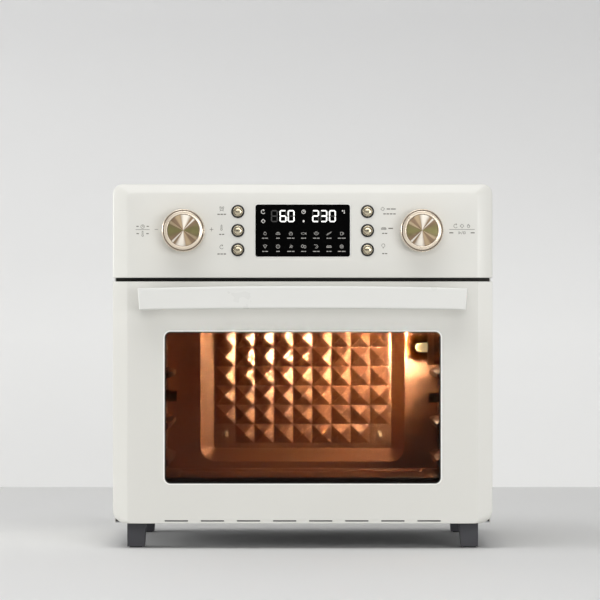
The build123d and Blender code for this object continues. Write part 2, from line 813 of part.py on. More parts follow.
def fan_housing():
    """Pressed cover over the fan and element, with a flange on the ceiling."""
    y = at(FAN_DEPTH)
    z0 = CAVITY_Z1 + LINER
    z1 = z0 + HOUSING_H
    cover = prism_z(HOUSING_R, WHEEL_SIDES, 0, y, z0, z1)
    cover = cover + prism_z(HOUSING_R + HOUSING_FLANGE, WHEEL_SIDES, 0, y, z0, z0 + LINER)
    cover = cover - prism_z(HOUSING_R - LINER, WHEEL_SIDES, 0, y, z0 - 1, z1 - LINER)
    radius = ELEMENT_TUBE_R + EASE
    z2 = z1 - 2 * LINER
    legs = [prism_z(radius, HEX, leg_x, leg_y, z2, z1 + 1, True) for leg_x, leg_y in element_leg_places()]
    return cover - legs - hole_z(SHAFT_HOLE_R, 0, y, z2, z1 + 1)


def heating_element():
    """Tubular ring under the fan, with two legs up to its terminals."""
    z = CAVITY_Z1 + ELEMENT_UP
    y = at(FAN_DEPTH)
    radius = ELEMENT_TUBE_R
    ring = prism_z(ELEMENT_R + radius, WHEEL_SIDES, 0, y, z - radius, z + radius)
    ring = ring - prism_z(ELEMENT_R - radius, WHEEL_SIDES, 0, y, z - radius, z + radius)
    ring = chamfer(ring.edges().filter_by(Axis.Z, reverse=True), ELEMENT_EDGE)
    reach = ELEMENT_R * math.sin(math.radians(ELEMENT_LEG_X))
    gap = block(-reach, reach, y - HOUSING_R, y - ELEMENT_R / 2, z - 2 * radius, z + 2 * radius)
    top = CAVITY_Z1 + LINER + HOUSING_H + ELEMENT_LEG_TOP
    legs = [prism_z(radius, HEX, x, y, z - radius, top) for x, y in element_leg_places()]
    return ring - gap + legs


def element_clips():
    """Three bent clips that carry the ring from the edge of the ceiling."""
    z0 = CAVITY_Z1 + LINER
    stop_r = ELEMENT_R + ELEMENT_TUBE_R + LAP
    shelf = block(ELEMENT_R - ELEMENT_TUBE_R, CLIP_END_R, -CLIP_W / 2, CLIP_W / 2, z0, z0 + CLIP_T)
    stop = block(stop_r, stop_r + CLIP_T, -CLIP_W / 2, CLIP_W / 2, z0, z0 + CLIP_T + CLIP_H)
    centre = Pos(0, at(FAN_DEPTH), 0)
    return group([centre * Rot(0, 0, angle) * (shelf + stop) for angle in CLIP_ANGLES])


def blade(root_r, tip_r, height):
    """One swept fan blade in three flats, standing on z = 0."""
    step = (tip_r - root_r) / 3
    front = [(root_r, 0), (root_r + step, BLADE_BOW), (tip_r - step, BLADE_BOW), (tip_r, 0)]
    back = [(x, y - BLADE_T) for x, y in front[::-1]]
    return extrude(make_face(Polyline(*front, *back, close=True)), amount=height)


def impeller(z0, height, tip_r, blades):
    """Hub, disc and swept blades below the disc, bored for the shaft."""
    disc = prism_z(tip_r, WHEEL_SIDES, 0, 0, height - DISC_T, height)
    wheel = disc + prism_z(HUB_R, SHAFT_SIDES, 0, 0, 0, height - DISC_T)
    vane = blade(BLADE_ROOT_R, tip_r - BLADE_TIP_IN, height - DISC_T)
    wheel = wheel + [Rot(0, 0, 360 * index / blades) * vane for index in range(blades)]
    return Pos(0, at(FAN_DEPTH), z0) * (wheel - hole_z(SHAFT_R + EASE, 0, 0, -1, height + 1))


def hot_air_fan():
    """Impeller inside the housing, over the element."""
    return impeller(CAVITY_Z1 + HOT_FAN_UP, HOT_FAN_H, HOT_FAN_R, HOT_BLADES)


def cooling_fan_z():
    """Underside of the cooling fan, over the housing."""
    return CAVITY_Z1 + LINER + HOUSING_H + COOL_FAN_UP


def cooling_fan():
    """Impeller on the same shaft that cools the motor and electronics."""
    return impeller(cooling_fan_z(), COOL_FAN_H, COOL_FAN_R, COOL_BLADES)


def motor_z():
    """Underside of the fan motor."""
    return CAVITY_Z1 + LINER + HOUSING_H + MOTOR_UP


def motor_shaft():
    """Shaft from inside the motor down to the hot air fan."""
    z0 = CAVITY_Z1 + HOT_FAN_UP
    return prism_z(SHAFT_R, SHAFT_SIDES, 0, at(FAN_DEPTH), z0, motor_z() + MOTOR_H / 2)


def fan_motor():
    """Motor on its bracket, bored for the shaft."""
    z0 = motor_z()
    y = at(FAN_DEPTH)
    case = prism_z(MOTOR_R, WHEEL_SIDES, 0, y, z0, z0 + MOTOR_H)
    return case - hole_z(SHAFT_R + RUN_EASE, 0, y, z0 - 1, z0 + MOTOR_H / 2 + LAP)


def motor_bracket():
    """Bent strap that bridges the cooling fan and carries the motor."""
    z0 = CAVITY_Z1 + LINER + HOUSING_H
    z1 = motor_z()
    y = at(FAN_DEPTH)
    outer = block(-BRACKET_SPAN, BRACKET_SPAN, y - BRACKET_W / 2, y + BRACKET_W / 2, z0, z1)
    x1 = BRACKET_SPAN - BRACKET_T
    inner = block(-x1, x1, y - BRACKET_W, y + BRACKET_W, z0 - 1, z1 - BRACKET_T)
    x2 = BRACKET_SPAN + BRACKET_FOOT
    soles = block(-x2, x2, y - BRACKET_W / 2, y + BRACKET_W / 2, z0, z0 + BRACKET_T)
    return (outer + soles) - inner - hole_z(SHAFT_HOLE_R, 0, y, z0, z1 + 1)


def fascia_form():
    """Control panel volume: flat face, bevels at the sides and top."""
    face_x = HALF_W - BEVEL_SIDE
    face = outline(-face_x, face_x, FASCIA_Z0, TOP_Z - BEVEL_TOP, FACE_CORNER)
    rim = outline(-HALF_W, HALF_W, FASCIA_Z0, TOP_Z, FASCIA_CORNER)
    front = skin(face, FACE_Y, rim, at(BEVEL_BACK))
    return front + deep(rim, at(BEVEL_BACK), at(SHELL_START))


def control_row_z():
    """Height of the middle of the knobs, buttons and display."""
    return TOP_Z - ROW_DROP


def button_places():
    """The six buttons: left column then right column, top first."""
    z = control_row_z()
    return [(x, z + up) for x in (-BUTTON_X, BUTTON_X) for up in (BUTTON_PITCH, 0.0, -BUTTON_PITCH)]


def display_outline(inset):
    """Display outline about the control row, drawn in by an inset."""
    half_w = DISPLAY_W / 2 - inset
    half_h = DISPLAY_H / 2 - inset
    z = control_row_z()
    return outline(-half_w, half_w, z - half_h, z + half_h, DISPLAY_R, DISPLAY_R)


def control_panel():
    """Hollow front moulding with seats for the display, knobs and buttons."""
    lip_in = SHELL_INSET + SHEET + EASE
    lip_x = HALF_W - lip_in
    lip = outline(-lip_x, lip_x, FASCIA_Z0, TOP_Z - lip_in, SHELL_CORNER - SHEET)
    form = fascia_form() + deep(lip, at(SHELL_START), at(FRAME_START))
    inner_x = HALF_W - MOULD_HOLLOW
    form = form - block(
        -inner_x, inner_x, at(MOULD_WALL), at(FRAME_START + 1), FASCIA_Z0 + MOULD_WALL, TOP_Z - MOULD_HOLLOW
    )
    z = control_row_z()
    seat = deep(display_outline(-EASE), at(-1), at(DISPLAY_T - DISPLAY_PROUD))
    half_w = DISPLAY_W / 2 - DISPLAY_LEDGE
    half_h = DISPLAY_H / 2 - DISPLAY_LEDGE
    opening = block(-half_w, half_w, at(-1), at(MOULD_WALL + 1), z - half_h, z + half_h)
    spindles = [hole_y(SPINDLE_HOLE_R, x, at(-1), at(MOULD_WALL + 1), z) for x in (-KNOB_X, KNOB_X)]
    buttons = [prism_y(BEZEL_IN_R, BUTTON_SIDES, x, at(-1), at(MOULD_WALL + 1), up, True)
               for x, up in button_places()]
    half = BOSS_W / 2
    bosses = [block(x - half, x + half, at(MOULD_WALL), at(BOARD_START), z + up - half, z + up + half)
              for x in (-BOSS_X, BOSS_X) for up in (-BOSS_UP, BOSS_UP)]
    return form + bosses - seat - opening - spindles - buttons


def display_window():
    """Dark glass pane seated in the panel."""
    return deep(display_outline(0), at(-DISPLAY_PROUD), at(DISPLAY_T - DISPLAY_PROUD))


def control_board():
    """Circuit board with its display module in front and relays behind."""
    z = control_row_z()
    y0 = at(BOARD_START)
    y1 = at(BOARD_START + BOARD_T)
    board = block(-BOARD_W / 2, BOARD_W / 2, y0, y1, z - BOARD_H / 2, z + BOARD_H / 2)
    half_w = DISPLAY_W / 2 - DISPLAY_LEDGE - 1
    half_h = DISPLAY_H / 2 - DISPLAY_LEDGE - 1
    screen = block(-half_w, half_w, at(DISPLAY_T), y0, z - half_h, z + half_h)
    half = RELAY_W / 2
    relays = [block(x - half, x + half, y1, y1 + RELAY_T, z - half, z + half)
              for x in spaced(RELAYS, RELAY_PITCH)]
    return board + screen + relays


def tact_switches():
    """Six small switches behind the buttons."""
    half = SWITCH_W / 2
    y0 = at(CAP_STEM_END + PUSH_TRAVEL + SWITCH_GAP)
    y1 = at(BOARD_START)
    return group([block(x - half, x + half, y0, y1, z - half, z + half) for x, z in button_places()])


def encoder(x):
    """Rotary encoder body with its bush and blind bore."""
    z = control_row_z()
    half = ENCODER_W / 2
    case = block(x - half, x + half, at(ENCODER_START), at(BOARD_START), z - half, z + half)
    bush = prism_y(ENCODER_BUSH_R, SHAFT_SIDES, x, at(ENCODER_BUSH_START), at(ENCODER_START), z)
    bore_end = SPINDLE_END + PLUNGER_L + PUSH_TRAVEL + EASE
    bore = hole_y(SPINDLE_R + RUN_EASE, x, at(ENCODER_BUSH_START - 1), at(bore_end), z)
    return case + bush - bore


def encoder_bodies():
    """The two encoders on the board."""
    return group([encoder(-KNOB_X), encoder(KNOB_X)])


def encoder_plunger():
    """Small plunger that the right shaft presses on."""
    radius = SPINDLE_R - PLUNGER_EASE
    z = control_row_z()
    return prism_y(radius, SHAFT_SIDES, KNOB_X, at(SPINDLE_END), at(SPINDLE_END + PLUNGER_L), z)


def knob_shaft(x):
    """Encoder shaft from inside the knob to inside the encoder."""
    z = control_row_z()
    return prism_y(SPINDLE_R, SHAFT_SIDES, x, at(-SPINDLE_IN_KNOB), at(SPINDLE_END), z)


def knob_body(x):
    """Turned knob with a blind bore for its shaft."""
    z = control_row_z()
    body = prism_y(KNOB_R, KNOB_SIDES, x, at(KNOB_FACE_T - KNOB_OUT), at(-KNOB_GAP), z)
    return body - hole_y(SPINDLE_R + EASE, x, at(-SPINDLE_IN_KNOB), FACE_Y, z)


def knob_face(x):
    """Metal disc on the front of the knob, with a shallow round recess."""
    y0 = at(-KNOB_OUT)
    z = control_row_z()
    disc = prism_y(KNOB_R - KNOB_RIM, KNOB_SIDES, x, y0, y0 + KNOB_FACE_T, z)
    return disc - prism_y(KNOB_DISH_R, KNOB_SIDES, x, y0 - 1, y0 + KNOB_DISH_T, z)


def button_bezels():
    """Black rings on the panel round the six buttons."""
    ring = RegularPolygon(BEZEL_R, BUTTON_SIDES) - RegularPolygon(BEZEL_IN_R, BUTTON_SIDES, False)
    return group([deep(Pos(x, z) * ring, at(-BEZEL_OUT), FACE_Y) for x, z in button_places()])


def button_cap(index):
    """One push button: a crowned cap, a square flange behind the panel and a stem."""
    x, z = button_places()[index]
    flange_front = at(MOULD_WALL + LAP)
    flange_back = flange_front + CAP_FLANGE_T
    cap = prism_y(CAP_R, BUTTON_SIDES, x, at(-CAP_OUT), flange_front, z)
    cap = chamfer(cap.faces().sort_by(Axis.Y)[0].edges(), CAP_CROWN)
    flange = block(
        x - CAP_FLANGE_W / 2, x + CAP_FLANGE_W / 2, flange_front, flange_back,
        z - CAP_FLANGE_W / 2, z + CAP_FLANGE_W / 2,
    )
    half = CAP_STEM_W / 2
    stem = block(x - half, x + half, flange_back, at(CAP_STEM_END), z - half, z + half)
    return cap + flange + stem


def door_form():
    """Door volume: flat face, bevels at the sides, rounded lower corners."""
    face_x = HALF_W - BEVEL_SIDE
    face = outline(-face_x, face_x, DOOR_Z0, DOOR_Z1, 0, FACE_CORNER)
    rim = outline(-HALF_W, HALF_W, DOOR_Z0, DOOR_Z1, 0, DOOR_CORNER)
    front = skin(face, FACE_Y, rim, at(BEVEL_BACK))
    return front + deep(rim, at(BEVEL_BACK), at(DOOR_FRAME_D))


def window_outline(grow):
    """Window outline, grown outwards."""
    x1 = HALF_W - WINDOW_SIDE + grow
    z0 = DOOR_Z0 + WINDOW_LOW - grow
    z1 = DOOR_Z1 - WINDOW_TOP + grow
    radius = WINDOW_R + max(grow, 0)
    return outline(-x1, x1, z0, z1, radius, radius)


def hinge_axis():
    """Y and Z of the door's hinge pins."""
    return at(HINGE_DEPTH), FOOT_H + HINGE_UP


def hinge_x():
    """X of the right hinge arm's middle."""
    return HALF_W - HINGE_IN


def hinge_notch(sign):
    """Space the fixed arm and the spring need in the door as it swings."""
    y, z = hinge_axis()
    inner = sign * (hinge_x() - ARM_T / 2 - NOTCH_SIDE)
    outer = sign * (hinge_x() + ARM_T / 2 + NOTCH_SPRING)
    x0, x1 = sorted((inner, outer))
    return block(x0, x1, y - NOTCH_AHEAD, at(DOOR_T + 1), DOOR_Z0 - 1, z + NOTCH_ABOVE)


def hinge_block(sign):
    """Solid corner of the door frame that holds the hinge pin."""
    y, z = hinge_axis()
    middle = sign * hinge_x()
    half = HINGE_BLOCK_W / 2
    z0 = DOOR_Z0 + MOULD_WALL - 1
    return block(middle - half, middle + half, at(DOOR_FRONT_T - 1), at(DOOR_FRAME_D), z0, z + HINGE_BLOCK_UP)


def post_places():
    """X and Z of the middle of the two handle posts."""
    x = HALF_W - HANDLE_SIDE - POST_MARGIN - POST_W / 2
    z = DOOR_Z1 - HANDLE_DROP - HANDLE_H / 2
    return [(-x, z), (x, z)]


def door_frame():
    """Hollow door moulding with the window, vent slots and hinge blocks."""
    inner_x = HALF_W - MOULD_HOLLOW
    form = door_form() - block(
        -inner_x, inner_x, at(DOOR_FRONT_T), at(DOOR_FRAME_D + 1), DOOR_Z0 + MOULD_WALL, DOOR_Z1 - MOULD_WALL
    )
    form = form + [hinge_block(sign) for sign in (-1, 1)]
    window = deep(window_outline(0), at(-1), at(DOOR_FRONT_T + 1))
    z0 = DOOR_Z0 + DOOR_SLOT_UP
    half = DOOR_SLOT_W / 2
    slots = [block(x - half, x + half, at(-1), at(DOOR_FRONT_T), z0, z0 + DOOR_SLOT_H)
             for x in spaced(DOOR_SLOTS, DOOR_SLOT_PITCH)]
    y, z = hinge_axis()
    reach = PIN_L / 2 + EASE
    bores = [hole_x(PIN_R + EASE, x - reach, x + reach, y, z) for x in (-hinge_x(), hinge_x())]
    radius = SCREW_R + SCREW_EASE
    screws = [prism_y(radius, HEX, x, at(-1), at(DOOR_FRONT_T + 1), z, True) for x, z in post_places()]
    return form - window - slots - bores - screws - [hinge_notch(-1), hinge_notch(1)]


def glass_pane(depth):
    """Rectangular pane that laps the window all round."""
    x1 = HALF_W - WINDOW_SIDE + GLASS_LAP
    z0 = DOOR_Z0 + WINDOW_LOW - GLASS_LAP
    z1 = DOOR_Z1 - WINDOW_TOP + GLASS_LAP
    return block(-x1, x1, at(depth), at(depth + GLASS_T), z0, z1)


def door_outer_glass():
    """Front pane, seated against the back of the door face."""
    return glass_pane(DOOR_FRONT_T)


def inner_panel_outline(drawn_in):
    """Edge of the door's inner panel, drawn in by an inset."""
    x1 = HALF_W - INNER_INSET - drawn_in
    z0 = DOOR_Z0 + INNER_INSET + drawn_in
    z1 = DOOR_Z1 - INNER_INSET - drawn_in
    return outline(-x1, x1, z0, z1, 0, DOOR_CORNER - INNER_INSET - drawn_in)


def door_inner_panel():
    """Pressed steel inner door panel with its glass opening."""
    slope = math.degrees(math.atan(INNER_TAPER / (DOOR_T - DOOR_FRAME_D)))
    outer = narrowing(inner_panel_outline(0), at(DOOR_FRAME_D), at(DOOR_T), slope)
    inner = narrowing(inner_panel_outline(INNER_T), at(DOOR_FRAME_D - INNER_T), at(DOOR_T - INNER_T), slope)
    opening = deep(window_outline(INNER_OPEN), at(DOOR_FRAME_D), at(DOOR_T + 1))
    return outer - inner - opening - [hinge_notch(-1), hinge_notch(1)]


def door_inner_glass():
    """Rear pane, seated against the inside of the inner panel."""
    return glass_pane(DOOR_T - INNER_T - GLASS_T)


def door_gasket():
    """Rubber seal round the cavity's mouth on the front frame."""
    def loop(grow):
        x1 = CAVITY_X - LIP + grow
        z0 = CAVITY_Z0 + LIP - grow
        z1 = CAVITY_Z1 - LIP + grow
        return outline(-x1, x1, z0, z1, MOUTH_R, MOUTH_R)
    seal = loop(GASKET_W) - loop(0)
    return deep(seal, at(DOOR_T + GASKET_GAP), at(FRAME_START))


def handle_bar():
    """Wide flat bar, bowed up in the middle."""
    top_x = HALF_W - HANDLE_SIDE
    low_x = top_x - HANDLE_SLANT
    crown = DOOR_Z1 - HANDLE_DROP
    belly = crown - HANDLE_H
    top_end = crown - HANDLE_CAMBER_TOP
    low_end = belly - HANDLE_CAMBER_LOW
    edges = [
        ThreePointArc((-top_x, top_end), (0, crown), (top_x, top_end)),
        Line((top_x, top_end), (low_x, low_end)),
        ThreePointArc((low_x, low_end), (0, belly), (-low_x, low_end)),
        Line((-low_x, low_end), (-top_x, top_end)),
    ]
    bar = deep(make_face(edges), at(-HANDLE_OUT), at(-HANDLE_OUT + HANDLE_T))
    return chamfer(bar.faces().sort_by(Axis.Y)[0].edges(), HANDLE_EDGE)


def handle_post(x, z):
    """Flared post from the back of the bar to the door face."""
    sign = math.copysign(1, x)
    outer = x + sign * POST_W / 2
    inner = x - sign * POST_W / 2
    bar_back = at(-HANDLE_OUT + HANDLE_T)
    corners = [(outer, bar_back), (inner - sign * POST_FLARE, bar_back), (inner, FACE_Y), (outer, FACE_Y)]
    half = HANDLE_H / 2 - POST_EDGE
    return tall(make_face(Polyline(*corners, close=True)), z - half, z + half)


def door_handle():
    """Handle bar and its two posts, bored for their screws."""
    handle = handle_bar() + [handle_post(x, z) for x, z in post_places()]
    depth = at(-POST_SCREW_IN)
    radius = SCREW_R + SCREW_EASE
    return handle - [prism_y(radius, HEX, x, depth, at(1), z, True) for x, z in post_places()]


def handle_screws():
    """Screws from inside the door into the handle posts."""
    length = DOOR_FRONT_T + POST_SCREW_L
    return group([screw_y(x, at(DOOR_FRONT_T), z, length, 1) for x, z in post_places()])


def hinge_bracket(sign):
    """Arm with a pin eye on a base plate against the front frame."""
    y, z = hinge_axis()
    middle = sign * hinge_x()
    half = ARM_T / 2
    half_base = BRACKET_BASE_W / 2
    base_front = at(FRAME_START - BRACKET_BASE_T)
    z0 = z - ARM_EYE_R
    base = block(
        middle - half_base, middle + half_base, base_front, at(FRAME_START), z0, z + BRACKET_BASE_UP
    )
    arm = block(middle - half, middle + half, y, at(FRAME_START), z0, z + ARM_EYE_R)
    eye = prism_x(ARM_EYE_R, SHAFT_SIDES, middle - half, middle + half, y, z)
    return base + arm + eye - hole_x(PIN_R + RUN_EASE, middle - ARM_T, middle + ARM_T, y, z)


def hinge_brackets():
    """Both hinge brackets."""
    return group([hinge_bracket(-1), hinge_bracket(1)])


def hinge_pins():
    """Both hinge pins, held in the door's hinge blocks."""
    y, z = hinge_axis()
    half = PIN_L / 2
    places = (-hinge_x(), hinge_x())
    return group([prism_x(PIN_R, SHAFT_SIDES, x - half, x + half, y, z) for x in places])


def hinge_spring(sign):
    """Torsion spring round the pin beside the arm, as a plain sleeve."""
    y, z = hinge_axis()
    start = sign * (hinge_x() + ARM_T / 2 + LAP)
    x0, x1 = sorted((start, start + sign * SPRING_L))
    sleeve = prism_x(SPRING_R, SHAFT_SIDES, x0, x1, y, z)
    return sleeve - hole_x(SPRING_IN_R, x0 - 1, x1 + 1, y, z)


def hinge_springs():
    """Both hinge springs."""
    return group([hinge_spring(-1), hinge_spring(1)])


NODES = {
    "outer_shell": outer_shell(),
    "front_frame": front_frame(),
    "base_plate": base_plate(),
    "rear_cover": rear_cover(),
    "cord_gland": cord_gland(),
    "feet": feet(),
    "foot_pads": foot_pads(),
    "panel_screws": panel_screws(),
    "cavity_left": cavity_side(-1),
    "cavity_right": cavity_side(1),
    "cavity_floor": cavity_floor(),
    "cavity_ceiling": cavity_ceiling(),
    "cavity_rear": cavity_rear(),
    "rack_rails_left": rack_rails(-1),
    "rack_rails_right": rack_rails(1),
    "spit_motor": spit_motor(),
    "spit_socket": spit_socket(),
    "spit_support": spit_support(),
    "lamp_holder": lamp_holder(),
    "lamp_dome": lamp_dome(),
    "lamp_bulb": lamp_bulb(),
    "temperature_probe": temperature_probe(),
    "fan_guard": fan_guard(),
    "fan_housing": fan_housing(),
    "heating_element": heating_element(),
    "element_clips": element_clips(),
    "hot_air_fan": hot_air_fan(),
    "cooling_fan": cooling_fan(),
    "motor_shaft": motor_shaft(),
    "fan_motor": fan_motor(),
    "motor_bracket": motor_bracket(),
    "control_panel": control_panel(),
    "display_window": display_window(),
    "control_board": control_board(),
    "tact_switches": tact_switches(),
    "encoder_bodies": encoder_bodies(),
    "encoder_plunger": encoder_plunger(),
    "knob_left": knob_body(-KNOB_X),
    "knob_left_face": knob_face(-KNOB_X),
    "knob_left_shaft": knob_shaft(-KNOB_X),
    "knob_right": knob_body(KNOB_X),
    "knob_right_face": knob_face(KNOB_X),
    "knob_right_shaft": knob_shaft(KNOB_X),
    "button_bezels": button_bezels(),
    "button_clock": button_cap(0),
    "button_temperature": button_cap(1),
    "button_rotation": button_cap(2),
    "button_fry": button_cap(3),
    "button_bake": button_cap(4),
    "button_lamp": button_cap(5),
    "door_frame": door_frame(),
    "door_outer_glass": door_outer_glass(),
    "door_inner_panel": door_inner_panel(),
    "door_inner_glass": door_inner_glass(),
    "door_handle": door_handle(),
    "handle_screws": handle_screws(),
    "door_gasket": door_gasket(),
    "hinge_brackets": hinge_brackets(),
    "hinge_pins": hinge_pins(),
    "hinge_springs": hinge_springs(),
}

os.makedirs("parts", exist_ok=True)
for name, shape in NODES.items():
    export_step(shape, f"parts/{name}.step")
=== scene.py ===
import json
import math

import bmesh
import bpy
from mathutils import Matrix, Vector


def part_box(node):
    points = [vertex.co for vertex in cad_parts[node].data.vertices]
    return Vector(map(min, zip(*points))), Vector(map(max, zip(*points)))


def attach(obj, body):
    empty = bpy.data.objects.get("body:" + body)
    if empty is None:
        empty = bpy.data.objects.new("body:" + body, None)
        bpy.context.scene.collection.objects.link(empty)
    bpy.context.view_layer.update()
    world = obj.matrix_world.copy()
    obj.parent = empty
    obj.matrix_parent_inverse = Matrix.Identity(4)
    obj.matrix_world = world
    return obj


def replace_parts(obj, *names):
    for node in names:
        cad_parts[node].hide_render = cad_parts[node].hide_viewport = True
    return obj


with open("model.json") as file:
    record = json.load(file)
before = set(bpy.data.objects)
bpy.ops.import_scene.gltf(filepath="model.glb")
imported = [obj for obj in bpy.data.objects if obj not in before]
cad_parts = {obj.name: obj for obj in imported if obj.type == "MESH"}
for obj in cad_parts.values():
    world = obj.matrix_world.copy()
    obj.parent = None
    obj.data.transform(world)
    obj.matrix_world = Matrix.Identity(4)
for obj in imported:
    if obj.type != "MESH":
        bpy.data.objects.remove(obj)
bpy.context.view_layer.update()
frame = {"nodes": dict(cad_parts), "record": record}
NODES = frame["nodes"]
MM = 0.001

# Camera and image, from the photograph
IMAGE_PX = 600
CAMERA_BACK = 3.884
CAMERA_X = -0.0027
CAMERA_Z = 0.249
FOCAL_PX = 3884.0
SENSOR_MM = 36.0


def middle(node):
    """Centre of a CAD node's box."""
    low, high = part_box(node)
    return (low + high) / 2


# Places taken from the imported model, in metres
FACE_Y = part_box("door_frame")[0].y
ROW_Z = middle("knob_left").z
KNOBS = {"left": middle("knob_left").x, "right": middle("knob_right").x}
BUTTONS = ("clock", "temperature", "rotation", "fry", "bake", "lamp")
DISPLAY_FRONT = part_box("display_window")[0].y

# Openings in the door and the panel, in millimetres
GLASS_LAP = 8.0
WINDOW_CORNER = 6.0
DISPLAY_CORNER = 2.3
DISPLAY_GAP = 0.1
KNOB_HOLE_R = 4.2
BUTTON_HOLE_R = 5.15


def linear(red, green, blue):
    """Linear colour of an 8 bit sRGB colour, with alpha."""
    channels = [channel / 255 for channel in (red, green, blue)]
    return tuple(c / 12.92 if c <= 0.04045 else ((c + 0.055) / 1.055) ** 2.4 for c in channels) + (1.0,)


# Materials


class Paint:
    """A Principled material with small helpers for its procedural detail."""

    def __init__(self, name, color, roughness, metallic=0.0, **sockets):
        self.name = name
        self.material = bpy.data.materials.new(name)
        self.material.use_nodes = True
        self.tree = self.material.node_tree
        self.shader = self.tree.nodes["Principled BSDF"]
        self.color = linear(*color)
        self.set("Base Color", self.color)
        self.set("Roughness", roughness)
        self.set("Metallic", metallic)
        for socket, value in sockets.items():
            self.set(socket.replace("_", " "), value)

    def set(self, socket, value):
        self.shader.inputs[socket].default_value = value

    def node(self, kind, **settings):
        """New node with its properties or input values set."""
        made = self.tree.nodes.new(kind)
        for key, value in settings.items():
            socket = key.replace("_", " ")
            if socket in made.inputs:
                made.inputs[socket].default_value = value
            else:
                setattr(made, key, value)
        return made

    def link(self, source, target):
        self.tree.links.new(source, target)

    def noise(self, scale, stretch=(1, 1, 1)):
        """Noise over object coordinates, in metres, stretched along the axes."""
        where = self.node("ShaderNodeTexCoord")
        mapped = self.node("ShaderNodeMapping", Scale=stretch)
        made = self.node("ShaderNodeTexNoise", Scale=scale, Detail=3.0)
        self.link(where.outputs["Object"], mapped.inputs["Vector"])
        self.link(mapped.outputs["Vector"], made.inputs["Vector"])
        return made.outputs["Fac"]

    def span(self, source, low, high, from_low=0.3, from_high=0.7):
        """Source mapped from one range onto another."""
        made = self.node("ShaderNodeMapRange", From_Min=from_low, From_Max=from_high, To_Min=low, To_Max=high)
        self.link(source, made.inputs["Value"])
        return made.outputs["Result"]

    def rough(self, low, high, scale=40.0, stretch=(1, 1, 1)):
        """Roughness that varies softly over the surface."""
        self.link(self.span(self.noise(scale, stretch), low, high), self.shader.inputs["Roughness"])
        return self

    def blended(self, *layers):
        """Base colour with other colours laid over it, each by its own factor."""
        below = None
        for factor, other in layers:
            mix = self.node("ShaderNodeMix", data_type="RGBA")
            first, second = [socket for socket in mix.inputs if socket.type == "RGBA"]
            if below:
                self.link(below, first)
            else:
                first.default_value = self.color
            second.default_value = linear(*other)
            self.link(factor, mix.inputs["Factor"])
            below = [socket for socket in mix.outputs if socket.type == "RGBA"][0]
        self.link(below, self.shader.inputs["Base Color"])
        return self

    def shade(self, other, scale):
        """Base colour that drifts between two colours."""
        return self.blended((self.span(self.noise(scale), 0.0, 1.0), other))

    def relief(self, scale, strength, edge, stretch=(1, 1, 1), depth=0.0002):
        """Fine surface relief, and edges that catch light as if rounded."""
        bump = self.node("ShaderNodeBump", Strength=strength, Distance=depth)
        rounded = self.node("ShaderNodeBevel", samples=4, Radius=edge)
        self.link(self.noise(scale, stretch), bump.inputs["Height"])
        self.link(rounded.outputs["Normal"], bump.inputs["Normal"])
        self.link(bump.outputs["Normal"], self.shader.inputs["Normal"])
        return self


def cream(name, color, other, roughness):
    """Satin cream finish with a faint moulded texture."""
    made = Paint(name, color, roughness, Coat_Weight=0.15, Coat_Roughness=0.25)
    made.shade(other, 5.0).rough(roughness - 0.04, roughness + 0.05)
    return made.relief(900.0, 0.06, 0.0012)


def sheet_metal(name, color, other, roughness, metallic=1.0, stretch=(6, 1, 6)):
    """Pressed sheet metal with a faint rolled grain."""
    made = Paint(name, color, roughness, metallic)
    made.shade(other, 18.0).rough(roughness - 0.06, roughness + 0.08, 60.0, stretch)
    return made.relief(400.0, 0.08, 0.0005, stretch)


def pressed_metal(name, color, other, roughness):
    """Pressed and lacquered sheet, which keeps pale highlights where it faces a lamp."""
    made = Paint(name, color, roughness, 0.75, Coat_Weight=1.0, Coat_Roughness=0.4, Coat_IOR=1.75)
    made.shade(other, 18.0).rough(roughness - 0.04, roughness + 0.05, 60.0)
    return made.relief(400.0, 0.06, 0.0006)


def plastic(name, color, roughness):
    """Moulded plastic or rubber with a fine grain."""
    lighter = tuple(min(255, channel + 10) for channel in color)
    made = Paint(name, color, roughness)
    made.shade(lighter, 25.0).rough(roughness - 0.05, roughness + 0.08)
    return made.relief(700.0, 0.15, 0.0004, depth=0.0003)


def clear(name, color, alpha, roughness, gloss_level):
    """Clear glass, seen through by its alpha."""
    made = Paint(name, color, roughness, IOR=1.5, Alpha=alpha, Specular_IOR_Level=gloss_level)
    return made.rough(roughness, roughness + 0.03, 30.0)


def gloss(name, color, roughness):
    """Dark glossy acrylic whose coating cuts its reflections down."""
    made = Paint(name, color, roughness, Specular_IOR_Level=0.15)
    return made.shade(tuple(channel + 2 for channel in color), 40.0).rough(roughness, roughness + 0.03, 200.0)


def edged_glass(name, color, alpha, edge_alpha):
    """Glass that looks thicker where its surface turns away."""
    made = Paint(name, color, 0.03, IOR=1.5)
    facing = made.node("ShaderNodeLayerWeight", Blend=0.35)
    made.link(made.span(facing.outputs["Facing"], alpha, edge_alpha, 0.2, 1.0), made.shader.inputs["Alpha"])
    return made.rough(0.03, 0.06, 30.0)


def glow(name, color, strength):
    """Finish that gives light, a little uneven."""
    made = Paint(name, color, 0.4, Emission_Strength=strength)
    made.set("Emission Color", linear(*color))
    return made.rough(0.4, 0.5)


def ink(name, color):
    """Printed ink."""
    made = Paint(name, color, 0.5)
    return made.shade(tuple(channel - 8 for channel in color), 60.0).rough(0.45, 0.6, 200.0)


